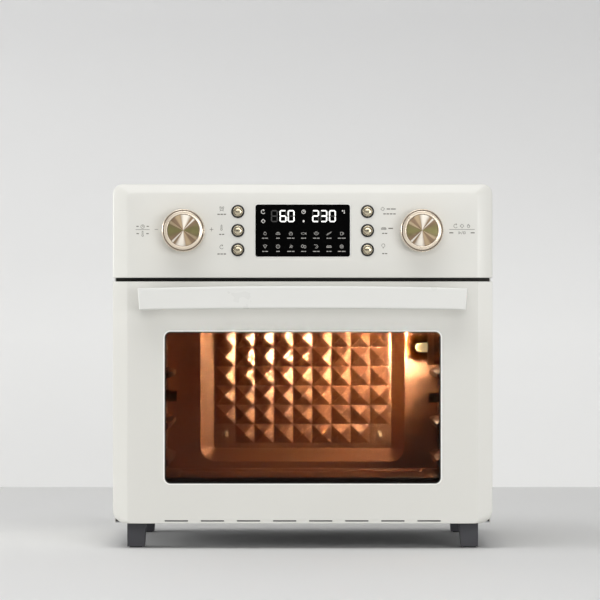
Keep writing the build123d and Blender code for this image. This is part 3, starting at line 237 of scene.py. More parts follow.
def spun_metal(name, color, bright, warm, roughness, anisotropy):
    """Metal turned about the Y axis, whose grooves draw reflections out to spokes; its base colour also
    carries painted highlights and painted darker reflections as wedges at fixed angles.
    """
    made = Paint(name, color, roughness, 0.6, Anisotropic=anisotropy, Anisotropic_Rotation=0.25)
    tangent = made.node("ShaderNodeTangent", direction_type="RADIAL", axis="Y")
    made.link(tangent.outputs["Tangent"], made.shader.inputs["Tangent"])
    where = made.node("ShaderNodeTexCoord")
    about = made.node("ShaderNodeMapping", Location=(-0.5, -0.5, -0.5))
    split = made.node("ShaderNodeSeparateXYZ")
    angle = made.node("ShaderNodeMath", operation="ARCTAN2")
    made.link(where.outputs["Generated"], about.inputs["Vector"])
    made.link(about.outputs["Vector"], split.inputs["Vector"])
    made.link(split.outputs["Z"], angle.inputs[0])
    made.link(split.outputs["X"], angle.inputs[1])

    def painted_wedge(turn, reach, full):
        """Mask of two opposite painted reflection wedges about an angle, whole to full degrees off it and
        gone at reach.
        """
        shifted = made.node("ShaderNodeMath", operation="SUBTRACT")
        shifted.inputs[1].default_value = math.radians(turn)
        doubled = made.node("ShaderNodeMath", operation="MULTIPLY")
        doubled.inputs[1].default_value = 2.0
        wave = made.node("ShaderNodeMath", operation="COSINE")
        made.link(angle.outputs[0], shifted.inputs[0])
        made.link(shifted.outputs[0], doubled.inputs[0])
        made.link(doubled.outputs[0], wave.inputs[0])
        near, far = math.cos(math.radians(2 * full)), math.cos(math.radians(2 * reach))
        return made.span(wave.outputs[0], 0.0, 1.0, far, near)

    # Painted reflections: the bright wedges are painted highlights, the warm and the two tan wedges painted
    # darker reflections.
    made.blended(
        (painted_wedge(0, 34, 8), warm), (painted_wedge(112, 14, 4), (196, 172, 138)), (painted_wedge(80, 22, 7), bright),
        (painted_wedge(46, 5, 1), bright), (painted_wedge(-32, 8, 2), (206, 184, 150)),
    )
    return made.rough(roughness - 0.03, roughness + 0.04, 300.0)


def finishes():
    """One finish for each material slot of the record, and a few for finer pieces."""
    made = [
        cream("cream_paint", (220, 219, 213), (216, 215, 208), 0.36),
        cream("cream_moulding", (216, 215, 209), (213, 212, 206), 0.34),
        cream("handle_cream", (219, 219, 215), (218, 218, 214), 0.30),
        # Paler than the door and panel: a painted highlight on the rounded window and display edges.
        cream("painted_highlight_cream", (250, 249, 245), (246, 245, 240), 0.25),
        sheet_metal("zinc_steel", (176, 178, 180), (158, 160, 162), 0.42),
        pressed_metal("liner_steel", (142, 80, 36), (132, 73, 31), 0.34),
        pressed_metal("pressed_steel", (140, 78, 35), (128, 70, 30), 0.42),
        sheet_metal("polished_steel", (208, 190, 165), (190, 172, 146), 0.22),
        sheet_metal("champagne_metal", (240, 226, 206), (230, 214, 192), 0.22, 0.65, stretch=(1, 1, 1)),
        # The spun disc's bright and warm colours are painted highlights and painted darker reflections, laid
        # out by angle.
        spun_metal("spun_champagne", (156, 131, 106), (255, 247, 233), (146, 138, 92), 0.22, 0.8),
        sheet_metal("gold_cap", (214, 204, 180), (200, 188, 160), 0.16, 0.85, stretch=(1, 1, 1)),
        plastic("black_ring", (24, 22, 20), 0.25),
        # Dark brown for thin rings of painted shade in the grooves of the knobs and button caps.
        plastic("painted_groove_shade", (72, 56, 42), 0.4),
        gloss("black_display", (4, 4, 4), 0.07),
        clear("clear_glass", (14, 5, 2), 0.38, 0.03, 0.1),
        edged_glass("lamp_glass", (58, 28, 9), 0.03, 0.85),
        glow("warm_bulb", (255, 226, 170), 3.0),
        plastic("ceramic_white", (226, 214, 190), 0.4),
        plastic("black_rubber", (30, 30, 31), 0.7),
        plastic("charcoal_plastic", (56, 56, 61), 0.55),
        plastic("board_green", (30, 84, 52), 0.45),
        sheet_metal("dark_steel", (92, 88, 84), (74, 70, 66), 0.45),
        sheet_metal("frame_steel", (74, 72, 70), (64, 62, 60), 0.5),
        sheet_metal("spring_steel", (150, 150, 152), (132, 132, 134), 0.3),
        plastic("grey_plastic", (120, 122, 124), 0.5),
        glow("lit_segment", (236, 236, 232), 0.9),
        glow("unlit_segment", (34, 33, 31), 0.3),
        glow("dim_icon", (128, 126, 122), 0.5),
        glow("bright_icon", (176, 174, 170), 0.6),
        ink("panel_ink", (116, 114, 107)),
    ]
    return {paint.name: paint.material for paint in made}


FINISH = finishes()
OWN_FINISH = {"cavity_rear": "pressed_steel", "front_frame": "frame_steel"}


def dress_nodes():
    """Gives every CAD node the finish of its slot, or one of its own."""
    for entry in frame["record"]["subparts"]:
        node = entry["node"]
        mesh = NODES[node].data
        mesh.materials.clear()
        mesh.materials.append(FINISH[OWN_FINISH.get(node, entry["material_slot"])])


dress_nodes()


# Mesh pieces


def toward(place, direction):
    """Placement whose Z axis points in a direction."""
    turn = Vector(direction).to_track_quat("Z", "Y").to_matrix().to_4x4()
    return Matrix.Translation(Vector(place)) @ turn


def new_piece(name, shape, finish, body, crisp=35.0):
    """Bmesh as a piece that rides on a body, smooth up to an edge angle in degrees."""
    bmesh.ops.recalc_face_normals(shape, faces=shape.faces)
    mesh = bpy.data.meshes.new(name)
    shape.to_mesh(mesh)
    shape.free()
    for face in mesh.polygons:
        face.use_smooth = True
    mesh.set_sharp_from_angle(angle=math.radians(crisp))
    mesh.materials.append(FINISH[finish])
    piece = bpy.data.objects.new(name, mesh)
    bpy.context.scene.collection.objects.link(piece)
    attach(piece, body)
    return piece


def ring_of(shape, radius, height, place, segments):
    """Ring of vertices about a placement's Z axis, or one vertex on the axis."""
    if radius == 0:
        return [shape.verts.new(place @ Vector((0, 0, height * MM)))]
    turns = [2 * math.pi * index / segments for index in range(segments)]
    return [shape.verts.new(place @ (Vector((math.cos(t) * radius, math.sin(t) * radius, height)) * MM))
            for t in turns]


def bridge(shape, first, second):
    """Faces between two closed rings, either of which may be one vertex."""
    count = max(len(first), len(second))
    for index in range(count):
        after = (index + 1) % count
        corners = [first[index % len(first)], first[after % len(first)]]
        corners += [second[after % len(second)], second[index % len(second)]]
        unique = list(dict.fromkeys(corners))
        if len(unique) > 2:
            shape.faces.new(unique)


def skin(shape, rings, closed=False, capped=False):
    """Faces between rings in turn, back to the first if closed, over both ends if capped."""
    for first, second in zip(rings, rings[1:] + rings[:1] if closed else rings[1:]):
        bridge(shape, first, second)
    if capped:
        shape.faces.new(rings[0][::-1])
        shape.faces.new(rings[-1])


def turned(shape, profile, place, segments=96, closed=False):
    """Turned form from (radius, height) points in millimetres."""
    skin(shape, [ring_of(shape, radius, height, place, segments) for radius, height in profile], closed)


def turned_piece(name, profile, place, finish, body, segments=96, closed=False):
    """One turned piece."""
    shape = bmesh.new()
    turned(shape, profile, place, segments, closed)
    return new_piece(name, shape, finish, body)


def rounded_loop(low, high, radius, steps=8):
    """Points and outward directions round a rectangle in X and Z with rounded corners."""
    loop = []
    corners = ((high.x, high.z, 0), (low.x, high.z, 90), (low.x, low.z, 180), (high.x, low.z, 270))
    for x, z, start in corners:
        middle_x = x - math.copysign(radius, math.cos(math.radians(start + 45)))
        middle_z = z - math.copysign(radius, math.sin(math.radians(start + 45)))
        for step in range(steps + 1):
            turn = math.radians(start + 90 * step / steps)
            out = Vector((math.cos(turn), 0, math.sin(turn)))
            loop.append((Vector((middle_x, 0, middle_z)) + out * radius, out))
    return loop


def offset_rings(shape, loop, profile, y):
    """Rings at (outward, forward) points in millimetres from a rounded loop at y."""
    rings = []
    for outward, forward in profile:
        ahead = Vector((0, y - forward * MM, 0))
        rings.append([shape.verts.new(point + out * outward * MM + ahead) for point, out in loop])
    return rings


def swept_frame(name, loop, profile, y, finish, body):
    """Frame whose section is a profile, closed all round."""
    shape = bmesh.new()
    skin(shape, offset_rings(shape, loop, profile, y), closed=True)
    return new_piece(name, shape, finish, body)


# Knobs and buttons

KNOB_SHELL = [(0, 1.8), (20.5, 1.8), (21.3, 2.6), (21.3, 15.2), (21.1, 16.0), (20.6, 16.4), (0, 16.4)]
KNOB_RING = [
    (0, 16.4), (19.3, 16.4), (19.3, 16.7), (18.9, 16.95), (16.9, 17.35), (16.5, 17.4), (16.2, 17.3),
    (16.0, 17.0), (15.7, 16.9), (0, 16.9),
]
KNOB_DISC = [(0, 16.9), (15.7, 16.9), (15.7, 17.0), (0, 17.38)]
# Thin dark rings of painted shade: in the groove round the knob's rim and at the edge of its disc.
KNOB_GROOVE_SHADES = (
    [(19.5, 16.3), (20.5, 16.3), (20.5, 16.55), (20.3, 16.65), (19.7, 16.65), (19.5, 16.55)],
    [(15.65, 16.8), (16.1, 16.8), (16.1, 17.12), (15.95, 17.2), (15.8, 17.2), (15.65, 17.1)],
)


def on_panel(x, z):
    """Placement on the panel face whose Z axis points to the front."""
    return toward((x, FACE_Y, z), (0, -1, 0))


def knobs():
    """Turned knobs: a plain shell, a bevelled bright ring, a spun disc and thin dark rings of painted shade.
    """
    metal = "champagne_metal"
    for side, x in KNOBS.items():
        body = f"{side}_knob"
        place = on_panel(x, ROW_Z)
        shell = turned_piece(f"knob_{side}_shell", KNOB_SHELL, place, metal, body)
        ring = turned_piece(f"knob_{side}_ring", KNOB_RING, place, metal, body)
        # The disc's spun finish carries painted highlight and painted darker reflection wedges.
        turned_piece(f"knob_{side}_disc", KNOB_DISC, place, "spun_champagne", body)
        lines = bmesh.new()
        for profile in KNOB_GROOVE_SHADES:
            turned(lines, profile, place, closed=True)
        new_piece(f"knob_{side}_lines", lines, "painted_groove_shade", body)
        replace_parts(shell, f"knob_{side}")
        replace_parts(ring, f"knob_{side}_face")


CAP_PROFILE = [
    (0, -9.6), (2.0, -9.6), (2.0, -4.5), (6.0, -4.5), (6.0, -3.3), (4.85, -3.3), (4.85, 1.25), (4.7, 1.45),
    (4.15, 1.5), (3.95, 1.3), (3.75, 1.3), (3.3, 1.6), (2.4, 1.8), (1.2, 1.88), (0, 1.9),
]
# Thin dark ring of painted shade between the cap's rim and its dome.
CAP_GROOVE_SHADE = [(3.55, 1.2), (4.1, 1.2), (4.1, 1.45), (3.95, 1.52), (3.7, 1.52), (3.55, 1.45)]
BEZEL_PROFILE = [(5.2, 0), (6.6, 0), (6.65, 0.6), (6.3, 1.05), (5.8, 1.2), (5.4, 1.1), (5.2, 0.8)]


def buttons():
    """Domed caps with a stepped rim and a dark ring of painted shade inside it, each in a black ring."""
    rings = bmesh.new()
    for name in BUTTONS:
        node = f"button_{name}"
        body = f"{name}_button"
        centre = middle(node)
        place = on_panel(centre.x, centre.z)
        cap = turned_piece(f"cap_{name}", CAP_PROFILE, place, "gold_cap", body, 64)
        turned_piece(f"cap_{name}_line", CAP_GROOVE_SHADE, place, "painted_groove_shade", body, 64, True)
        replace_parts(cap, node)
        turned(rings, BEZEL_PROFILE, place, 64, closed=True)
    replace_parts(new_piece("bezel_rings", rings, "black_ring", "oven"), "button_bezels")


# Printed and lit marks


class Marks:
    """Thin shapes on the front, drawn in millimetres about a centre."""

    def __init__(self, pen):
        self.pen = pen
        self.centre = (0.0, 0.0)
        self.shapes = []

    def about(self, x, z):
        """Moves the centre that the next shapes are drawn about."""
        self.centre = (x, z)
        return self

    def shape(self, points):
        """Filled outline."""
        x0, z0 = self.centre
        self.shapes.append([(x0 + x, z0 + z) for x, z in points])

    def line(self, *points):
        """Stroke along straight runs."""
        for (x0, z0), (x1, z1) in zip(points, points[1:]):
            along = Vector((x1 - x0, z1 - z0)).normalized() * self.pen / 2
            side = Vector((-along.y, along.x))
            start = Vector((x0, z0)) - along
            end = Vector((x1, z1)) + along
            self.shape([start + side, start - side, end - side, end + side])

    def arc(self, x, z, radius, start=0, end=360, tall=1.0):
        """Stroke along part of a circle or an upright oval."""
        steps = max(4, round(abs(end - start) / 20))
        turns = [math.radians(start + (end - start) * step / steps) for step in range(steps + 1)]
        inner, outer = radius - self.pen / 2, radius + self.pen / 2
        for t0, t1 in zip(turns, turns[1:]):
            quad = [(inner, t0), (outer, t0), (outer, t1), (inner, t1)]
            self.shape([(x + r * math.cos(t), z + r * tall * math.sin(t)) for r, t in quad])

    def dot(self, x, z, radius, tall=1.0):
        """Filled circle or oval."""
        turns = [math.radians(30 * step) for step in range(12)]
        self.shape([(x + radius * math.cos(t), z + radius * tall * math.sin(t)) for t in turns])

    def dashes(self, x, z, *lengths, gap=0.7):
        """Row of short bars, centred, in place of a word."""
        at = x - (sum(lengths) + gap * (len(lengths) - 1)) / 2
        for length in lengths:
            self.line((at + self.pen / 2, z), (at + length - self.pen / 2, z))
            at += length + gap

    def piece(self, name, y, depth, finish, body, slot):
        """All the shapes as one piece, a little proud of the surface at y."""
        made = bmesh.new()
        for points in self.shapes:
            front = [made.verts.new((x * MM, y - depth * MM, z * MM)) for x, z in points]
            back = [made.verts.new((x * MM, y, z * MM)) for x, z in points]
            made.faces.new(front)
            made.faces.new(back[::-1])
            bridge(made, front, back)
        return new_piece(name, made, finish, body)


MARK_DEPTH = 0.05
SEGMENTS = {
    "a": ((-1, 2), (1, 2)), "b": ((1, 2), (1, 0)), "c": ((1, 0), (1, -2)), "d": ((-1, -2), (1, -2)),
    "e": ((-1, 0), (-1, -2)), "f": ((-1, 2), (-1, 0)), "g": ((-1, 0), (1, 0)),
}
LIT = {" ": "", "6": "acdefg", "0": "abcdef", "2": "abdeg", "3": "abcdg"}
DIGIT_HALF_W = 2.85
DIGIT_QUARTER_H = 2.7
DIGIT_PEN = 1.3
DIGIT_GAP = 0.12
DIGIT_PLACES = ((-28.3, " "), (-19.7, "6"), (-11.6, "0"), (12.9, "2"), (21.1, "3"), (29.7, "0"))
DIGIT_Z = 332.9


def digits():
    """Lit and unlit segments of the time and the temperature."""
    marks = {True: Marks(DIGIT_PEN), False: Marks(DIGIT_PEN)}
    for x, figure in DIGIT_PLACES:
        for name, ends in SEGMENTS.items():
            (x0, z0), (x1, z1) = [(a * DIGIT_HALF_W, b * DIGIT_QUARTER_H) for a, b in ends]
            along = Vector((x1 - x0, z1 - z0)).normalized()
            side = Vector((-along.y, along.x)) * DIGIT_PEN / 2
            tip = along * DIGIT_PEN / 2
            start = Vector((x0, z0)) + along * DIGIT_GAP
            end = Vector((x1, z1)) - along * DIGIT_GAP
            near, far = start + tip, end - tip
            drawn = marks[name in LIT[figure]].about(x, DIGIT_Z)
            drawn.shape([start, near + side, far + side, end, far - side, near - side])
    marks[True].piece("digits_lit", DISPLAY_FRONT, MARK_DEPTH, "lit_segment", "oven", "ceramic_white")
    marks[False].piece("digits_unlit", DISPLAY_FRONT, MARK_DEPTH / 2, "unlit_segment", "oven", "grey_plastic")


def flame(m):
    m.line((-1.0, -1.2), (-1.3, 0.2), (-0.2, 1.8), (0.1, 0.7), (0.8, 1.1))
    m.line((0.8, 1.1), (1.2, -0.2), (0.8, -1.4), (-0.6, -1.4))


def pot(m):
    m.line((-1.7, 0.4), (-1.4, -1.5), (1.4, -1.5), (1.7, 0.4), (-1.7, 0.4))
    m.line((-0.9, 1.3), (0.9, 1.3))


def loaf(m):
    m.arc(0, -0.6, 2.0, 0, 180, 0.9)
    m.line((-2.0, -0.9), (2.0, -0.9))
    m.line((-0.6, 0.1), (-0.2, 0.8))
    m.line((0.5, 0.1), (0.9, 0.8))


def fish(m):
    m.arc(-0.4, 0, 1.9, 0, 360, 0.5)
    m.line((1.5, 0), (2.5, 0.9), (2.5, -0.9), (1.5, 0))


def bowl(m):
    m.arc(0, 0.3, 2.1, 180, 360, 0.8)
    m.line((-2.2, 0.5), (2.2, 0.5))
    m.line((-0.6, 1.3), (-0.6, 1.9))
    m.line((0.6, 1.3), (0.6, 1.9))


def skewer(m):
    m.line((-2.3, -1.5), (2.3, 1.5))
    for step in (-1, 0, 1):
        m.dot(step * 1.3, step * 0.85, 0.72)


def cup(m):
    m.line((-1.4, 1.3), (-1.1, -1.5), (0.8, -1.5), (1.1, 1.3), (-1.4, 1.3))
    m.arc(1.2, 0, 0.8, -90, 90)


def slice_of_pie(m):
    m.line((-1.8, 1.1), (0, -1.7), (1.8, 1.1))
    m.arc(0, -1.0, 2.7, 52, 128)
    m.dot(0, 0.3, 0.4)


def biscuit(m):
    m.arc(0, 0, 1.8)
    for x, z in ((-0.6, 0.5), (0.6, 0.6), (0, -0.7)):
        m.dot(x, z, 0.36)


def leaf(m):
    m.arc(-0.3, -0.9, 2.3, 20, 95)
    m.arc(1.4, 1.2, 2.3, 195, 275)
    m.line((-1.2, -1.3), (1.2, 1.0))


def eggs(m):
    m.arc(-1.1, 0.3, 1.1, 0, 360, 1.25)
    m.arc(1.3, -0.3, 1.0, 0, 360, 1.25)


def hook(m):
    m.arc(0, 0, 1.6, -130, 120)
    m.line((-0.9, 1.5), (-2.0, 1.9))
    m.dot(0.1, -0.1, 0.4)


def tray(m):
    m.line((-2.4, -1.0), (2.4, -1.0))
    m.line((-2.4, -1.0), (-2.4, -0.2))
    m.line((2.4, -1.0), (2.4, -0.2))
    for x in (-1.3, 0, 1.3):
        m.arc(x, 0.2, 0.7)


def ring_cake(m):
    m.arc(0, 0, 1.7)
    m.arc(0, 0, 0.7)


def clock(m):
    m.arc(0, 0, 1.8)
    m.line((0, 1.0), (0, 0), (0.8, 0))


def bell_clock(m):
    m.arc(0, 0, 1.7)
    m.line((0, 0.8), (0, 0), (0.7, 0))
    m.line((-2.2, 1.5), (-1.4, 2.3))
    m.line((2.2, 1.5), (1.4, 2.3))
    m.line((-1.3, -1.6), (-1.8, -2.2))
    m.line((1.3, -1.6), (1.8, -2.2))


def thermometer(m):
    m.arc(0, -1.7, 0.9, 125, 415)
    m.line((-0.5, -1.0), (-0.5, 2.2))
    m.line((0.5, -1.0), (0.5, 2.2))
    m.arc(0, 2.2, 0.5, 0, 180)


def turning(m):
    m.arc(0, 0, 1.9, 60, 330)
    m.line((0.4, 2.3), (1.1, 1.5), (0.3, 0.9))


def fan(m):
    for start in (0, 90, 180, 270):
        turn = math.radians(start)
        m.arc(math.cos(turn) * 0.9, math.sin(turn) * 0.9, 0.9, start - 60, start + 120)


def bulb(m):
    m.arc(0, 0.6, 1.6, -50, 230)
    m.line((-0.7, -1.2), (0.7, -1.2))
    m.line((-0.5, -2.0), (0.5, -2.0))


def degree(m):
    m.arc(-1.3, 1.0, 0.5)
    m.line((0.4, -1.0), (0.4, 1.4))
    m.dot(0.4, -1.2, 0.7)


def play_stop(m):
    m.line((-3.2, -1.1), (-3.2, 1.1), (-1.4, 0), (-3.2, -1.1))
    m.line((-0.5, -1.2), (0.5, 1.2))
    m.line((1.4, -1.0), (3.2, -1.0), (3.2, 1.0), (1.4, 1.0), (1.4, -1.0))


def minus(m):
    m.line((-1.5, 0), (1.5, 0))


def plus(m):
    m.line((-1.6, 0), (1.6, 0))
    m.line((0, -1.6), (0, 1.6))


ICON_PEN = 0.5
CAPTION_PEN = 0.9
BRIGHT_PEN = 0.55
ICON_COLUMNS = (-37.6, -24.7, -11.9, 0.9, 13.6, 26.3, 39.0)
ICON_ROWS = (
    (315.5, 310.8, (flame, loaf, pot, fish, bowl, skewer, cup)),
    (302.5, 297.6, (slice_of_pie, biscuit, leaf, eggs, hook, tray, ring_cake)),
)
CAPTIONS = ((2.2, 2.8), (3.6,), (4.0, 2.6), (2.6, 1.6), (3.4, 2.4), (2.0, 2.2), (3.0, 4.0))
BRIGHT_ICONS = ((turning, -39.5, 337.2), (degree, 41.2, 337.2), (clock, 0.9, 337.2), (fan, -39.5, 327.9))
BRIGHT_DROP = (0.9, 327.8)


def display_icons():
    """Grid of cooking pictograms with a short row of dashes under each."""
    small = Marks(ICON_PEN)
    captions = Marks(CAPTION_PEN)
    for icon_z, caption_z, drawings in ICON_ROWS:
        for x, draw, caption in zip(ICON_COLUMNS, drawings, CAPTIONS):
            draw(small.about(x, icon_z))
            captions.about(x, caption_z).dashes(0, 0, *caption)
    bright = Marks(BRIGHT_PEN)
    for draw, x, z in BRIGHT_ICONS:
        draw(bright.about(x, z))
    bright.about(*BRIGHT_DROP).dot(0, 0, 1.0, 1.3)
    front = DISPLAY_FRONT
    small.piece("icons_dim", front, MARK_DEPTH, "dim_icon", "oven", "grey_plastic")
    captions.piece("icon_captions", front, MARK_DEPTH, "dim_icon", "oven", "grey_plastic")
    bright.piece("icons_bright", front, MARK_DEPTH, "bright_icon", "oven", "ceramic_white")


SIGN_PEN = 0.45
WORD_PEN = 1.1
PANEL_SIGNS = (
    (bell_clock, -81.0, 340.2), (thermometer, -81.2, 321.3), (turning, -81.0, 302.0),
    (fan, 80.0, 340.0), (tray, 81.0, 320.6), (bulb, 80.6, 303.0), (clock, -160.1, 322.4),
    (thermometer, -160.1, 315.2), (turning, 153.0, 323.0), (fan, 159.3, 323.0), (flame, 165.8, 323.0),
    (play_stop, 159.3, 316.2), (minus, -146.4, 319.6), (plus, -91.2, 319.6),
)
PANEL_RULES = ((-160.1, 319.4, 13.5), (159.3, 319.6, 25.0))
PANEL_WORDS = (
    (-81.0, 334.7, 2.4, 2.4, 2.4), (-81.0, 314.6, 2.2, 2.2), (-81.0, 295.0, 2.4, 2.4, 2.4),
    (88.5, 340.0, 3.4, 5.0), (86.8, 335.1, 2.6, 2.6, 2.6, 2.6), (88.0, 320.6, 4.6),
    (82.0, 315.6, 2.2, 2.2), (82.0, 295.4, 2.2, 2.2), (-165.2, 322.6, 2.2), (-155.0, 322.6, 2.2),
    (-165.0, 315.4, 2.4), (-155.2, 315.4, 2.4), (148.6, 316.2, 4.0), (170.0, 316.2, 4.0),
)


def panel_marks():
    """Generic signs beside the knobs and buttons, printed on the panel."""
    fine = Marks(SIGN_PEN)
    for draw, x, z in PANEL_SIGNS:
        draw(fine.about(x, z))
    for x, z, width in PANEL_RULES:
        fine.about(x, z).line((-width / 2, 0), (width / 2, 0))
    words = Marks(WORD_PEN)
    for x, z, *lengths in PANEL_WORDS:
        words.about(x, z).dashes(0, 0, *lengths)
    fine.piece("panel_signs", FACE_Y, MARK_DEPTH, "panel_ink", "oven", "grey_plastic")
    words.piece("panel_dashes", FACE_Y, MARK_DEPTH, "panel_ink", "oven", "grey_plastic")


# Edges of the window and the display, air slots and lamp

EDGE_PROFILE = [
    (-0.05, -0.6), (1.3, -0.6), (1.3, 0.0), (1.1, 0.16), (0.6, 0.24), (0.15, 0.16), (-0.05, 0.0),
]
BORDER_PROFILE = [(-1.1, 0.0), (0.5, 0.0), (0.5, 0.15), (-1.1, 0.15)]
DISPLAY_EDGE_PROFILE = [(0.1, 0.0), (0.9, 0.0), (0.8, 0.12), (0.5, 0.18), (0.1, 0.12)]


def window_trims():
    """Rounded edge of the window, paler than the door as a painted highlight, and the pane's printed border.
    """
    low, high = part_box("door_outer_glass")
    inset = Vector((1, 0, 1)) * GLASS_LAP * MM
    loop = rounded_loop(low + inset, high - inset, WINDOW_CORNER * MM)
    swept_frame("window_edge", loop, EDGE_PROFILE, FACE_Y, "painted_highlight_cream", "door")
    swept_frame("pane_border", loop, BORDER_PROFILE, low.y, "black_ring", "door")


def display_trim():
    """Edge round the display, paler than the panel as a painted highlight."""
    loop = rounded_loop(*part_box("display_window"), DISPLAY_CORNER * MM)
    swept_frame(
        "display_edge", loop, DISPLAY_EDGE_PROFILE, FACE_Y, "painted_highlight_cream", "oven")


SLOT_COUNT = 8
SLOT_PITCH = 36.1
SLOT_UP = 2.5
SLOT_HALF = Vector((11.6, 0, 0.55))
SLOT_CORNER = 0.4
SLOT_PROFILE = [(0.0, -3.9), (0.0, -1.0), (-0.15, -0.8)]


def painted_slot_shade():
    """Dark strips in the air slots low in the door: painted shade where the slots would be dark inside."""
    shape = bmesh.new()
    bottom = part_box("door_frame")[0].z
    for index in range(SLOT_COUNT):
        centre = Vector(((index - (SLOT_COUNT - 1) / 2) * SLOT_PITCH * MM, 0, bottom + SLOT_UP * MM))
        loop = rounded_loop(centre - SLOT_HALF * MM, centre + SLOT_HALF * MM, SLOT_CORNER * MM, 3)
        skin(shape, offset_rings(shape, loop, SLOT_PROFILE, FACE_Y), capped=True)
    new_piece("painted_slot_shade", shape, "charcoal_plastic", "door")


DOME_PROFILE = [
    (13.9, 2.0), (15.5, 2.0), (15.5, 26.0), (15.2, 29.0), (14.2, 31.8), (12.4, 34.2), (9.8, 36.0),
    (6.4, 36.8), (3.0, 37.0), (0, 37.0), (0, 35.4), (3.0, 35.4), (6.0, 35.2), (9.0, 34.5), (11.4, 32.8),
    (12.9, 30.7), (13.7, 28.2), (13.9, 25.6),
]
COLLAR_PROFILE = [
    (15.7, 2.0), (15.7, 12.8), (16.4, 13.5), (17.4, 13.5), (18.2, 12.6), (18.2, 9.6), (17.6, 9.0),
    (17.6, 7.6), (19.0, 6.8), (19.0, 0.0), (6.2, 0.0), (6.2, 2.0),
]
BULB_PROFILE = [
    (0, -16.0), (6.0, -16.0), (6.0, 8.0), (5.4, 9.4), (4.6, 11.4), (4.7, 14.0), (4.9, 17.0), (4.6, 20.4),
    (3.5, 23.6), (1.8, 25.6), (0, 26.0),
]


def lamp():
    """Oven lamp: stepped collar, rounded glass and glowing bulb."""
    centre = middle("lamp_dome")
    place = toward((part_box("cavity_right")[0].x, centre.y, centre.z), (-1, 0, 0))
    dome = turned_piece(
        "lamp_glass_dome", DOME_PROFILE, place, "lamp_glass", "oven", closed=True)
    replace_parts(dome, "lamp_dome")
    turned_piece(
        "lamp_collar", COLLAR_PROFILE, place, "champagne_metal", "oven", closed=True)
    bulb_glass = turned_piece("lamp_bulb_glass", BULB_PROFILE, place, "warm_bulb", "oven", 64)
    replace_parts(bulb_glass, "lamp_bulb")


# Moulded and bent pieces with rounded edges


def islands(node):
    """Boxes of the separate solids in a CAD node, as (low, high, points)."""
    mesh = NODES[node].data
    matrix = NODES[node].matrix_world
    shape = bmesh.new()
    shape.from_mesh(mesh)
    bmesh.ops.remove_doubles(shape, verts=shape.verts, dist=1e-6)
    left = set(shape.verts)
    found = []
    while left:
        open_verts = [left.pop()]
        points = []
        while open_verts:
            vert = open_verts.pop()
            points.append(matrix @ vert.co)
            for edge in vert.link_edges:
                other = edge.other_vert(vert)
                if other in left:
                    left.remove(other)
                    open_verts.append(other)
        low = Vector([min(point[axis] for point in points) for axis in range(3)])
        high = Vector([max(point[axis] for point in points) for axis in range(3)])
        found.append((low, high, points))
    shape.free()
    return found


def front_ring(shape, points, depth):
    """Ring of vertices at a depth behind the face, from points in millimetres."""
    return [shape.verts.new((x * MM, FACE_Y + depth * MM, z * MM)) for x, z in points]


def flat(loop):
    """X and Z of a rounded loop's points."""
    return [(point.x, point.z) for point, _ in loop]


ARC_STEPS = 8
CIRCLE_STEPS = 48


def arched(half_x, z0, z1, corner):
    """Outline with rounded top corners and square bottom ones."""
    points = [(half_x, z0)]
    for side, start in ((1, 0), (-1, 90)):
        middle_x = side * (half_x - corner)
        for step in range(ARC_STEPS + 1):
            turn = math.radians(start + 90 * step / ARC_STEPS)
            points.append((middle_x + corner * math.cos(turn), z1 - corner + corner * math.sin(turn)))
    return points + [(-half_x, z0)]


def circle(x, z, radius):
    """Round outline."""
    turns = [2 * math.pi * step / CIRCLE_STEPS for step in range(CIRCLE_STEPS)]
    return [(x + radius * math.cos(t), z + radius * math.sin(t)) for t in turns]


def holed(shape, outer, holes):
    """Flat face inside one ring and outside the others."""
    edges = []
    for ring in [outer] + holes:
        for first, second in zip(ring, ring[1:] + ring[:1]):
            edges.append(shape.edges.get((first, second)) or shape.edges.new((first, second)))
    bmesh.ops.triangle_fill(shape, use_beauty=True, use_dissolve=False, edges=edges)


PANEL_HALF_W = 190.0
PANEL_BEVEL_SIDE = 14.7
PANEL_BEVEL_TOP = 9.6
PANEL_BEVEL_BACK = 5.0
PANEL_FACE_CORNER = 4.0
PANEL_RIM_CORNER = 10.0
PANEL_WALL = 2.5
CREASE = 0.1
SHELL_FRONT = 27.0


def panel_ring(shape, share, depth, z0, z1):
    """Ring of the panel between its flat face, at 0, and its rim, at 1."""
    half_x = PANEL_HALF_W - PANEL_BEVEL_SIDE * (1 - share)
    top = z1 - PANEL_BEVEL_TOP * (1 - share)
    corner = PANEL_FACE_CORNER + (PANEL_RIM_CORNER - PANEL_FACE_CORNER) * share
    return front_ring(shape, arched(half_x, z0, top, corner), depth)


def panel_openings():
    """Outlines of the display's opening and of the holes behind the knobs and buttons."""
    low, high = [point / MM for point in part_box("display_window")]
    gap = Vector((DISPLAY_GAP, 0, DISPLAY_GAP))
    outlines = [flat(rounded_loop(low - gap, high + gap, DISPLAY_CORNER + DISPLAY_GAP))]
    outlines += [circle(x / MM, ROW_Z / MM, KNOB_HOLE_R) for x in KNOBS.values()]
    centres = [middle(f"button_{name}") / MM for name in BUTTONS]
    return outlines + [circle(centre.x, centre.z, BUTTON_HOLE_R) for centre in centres]


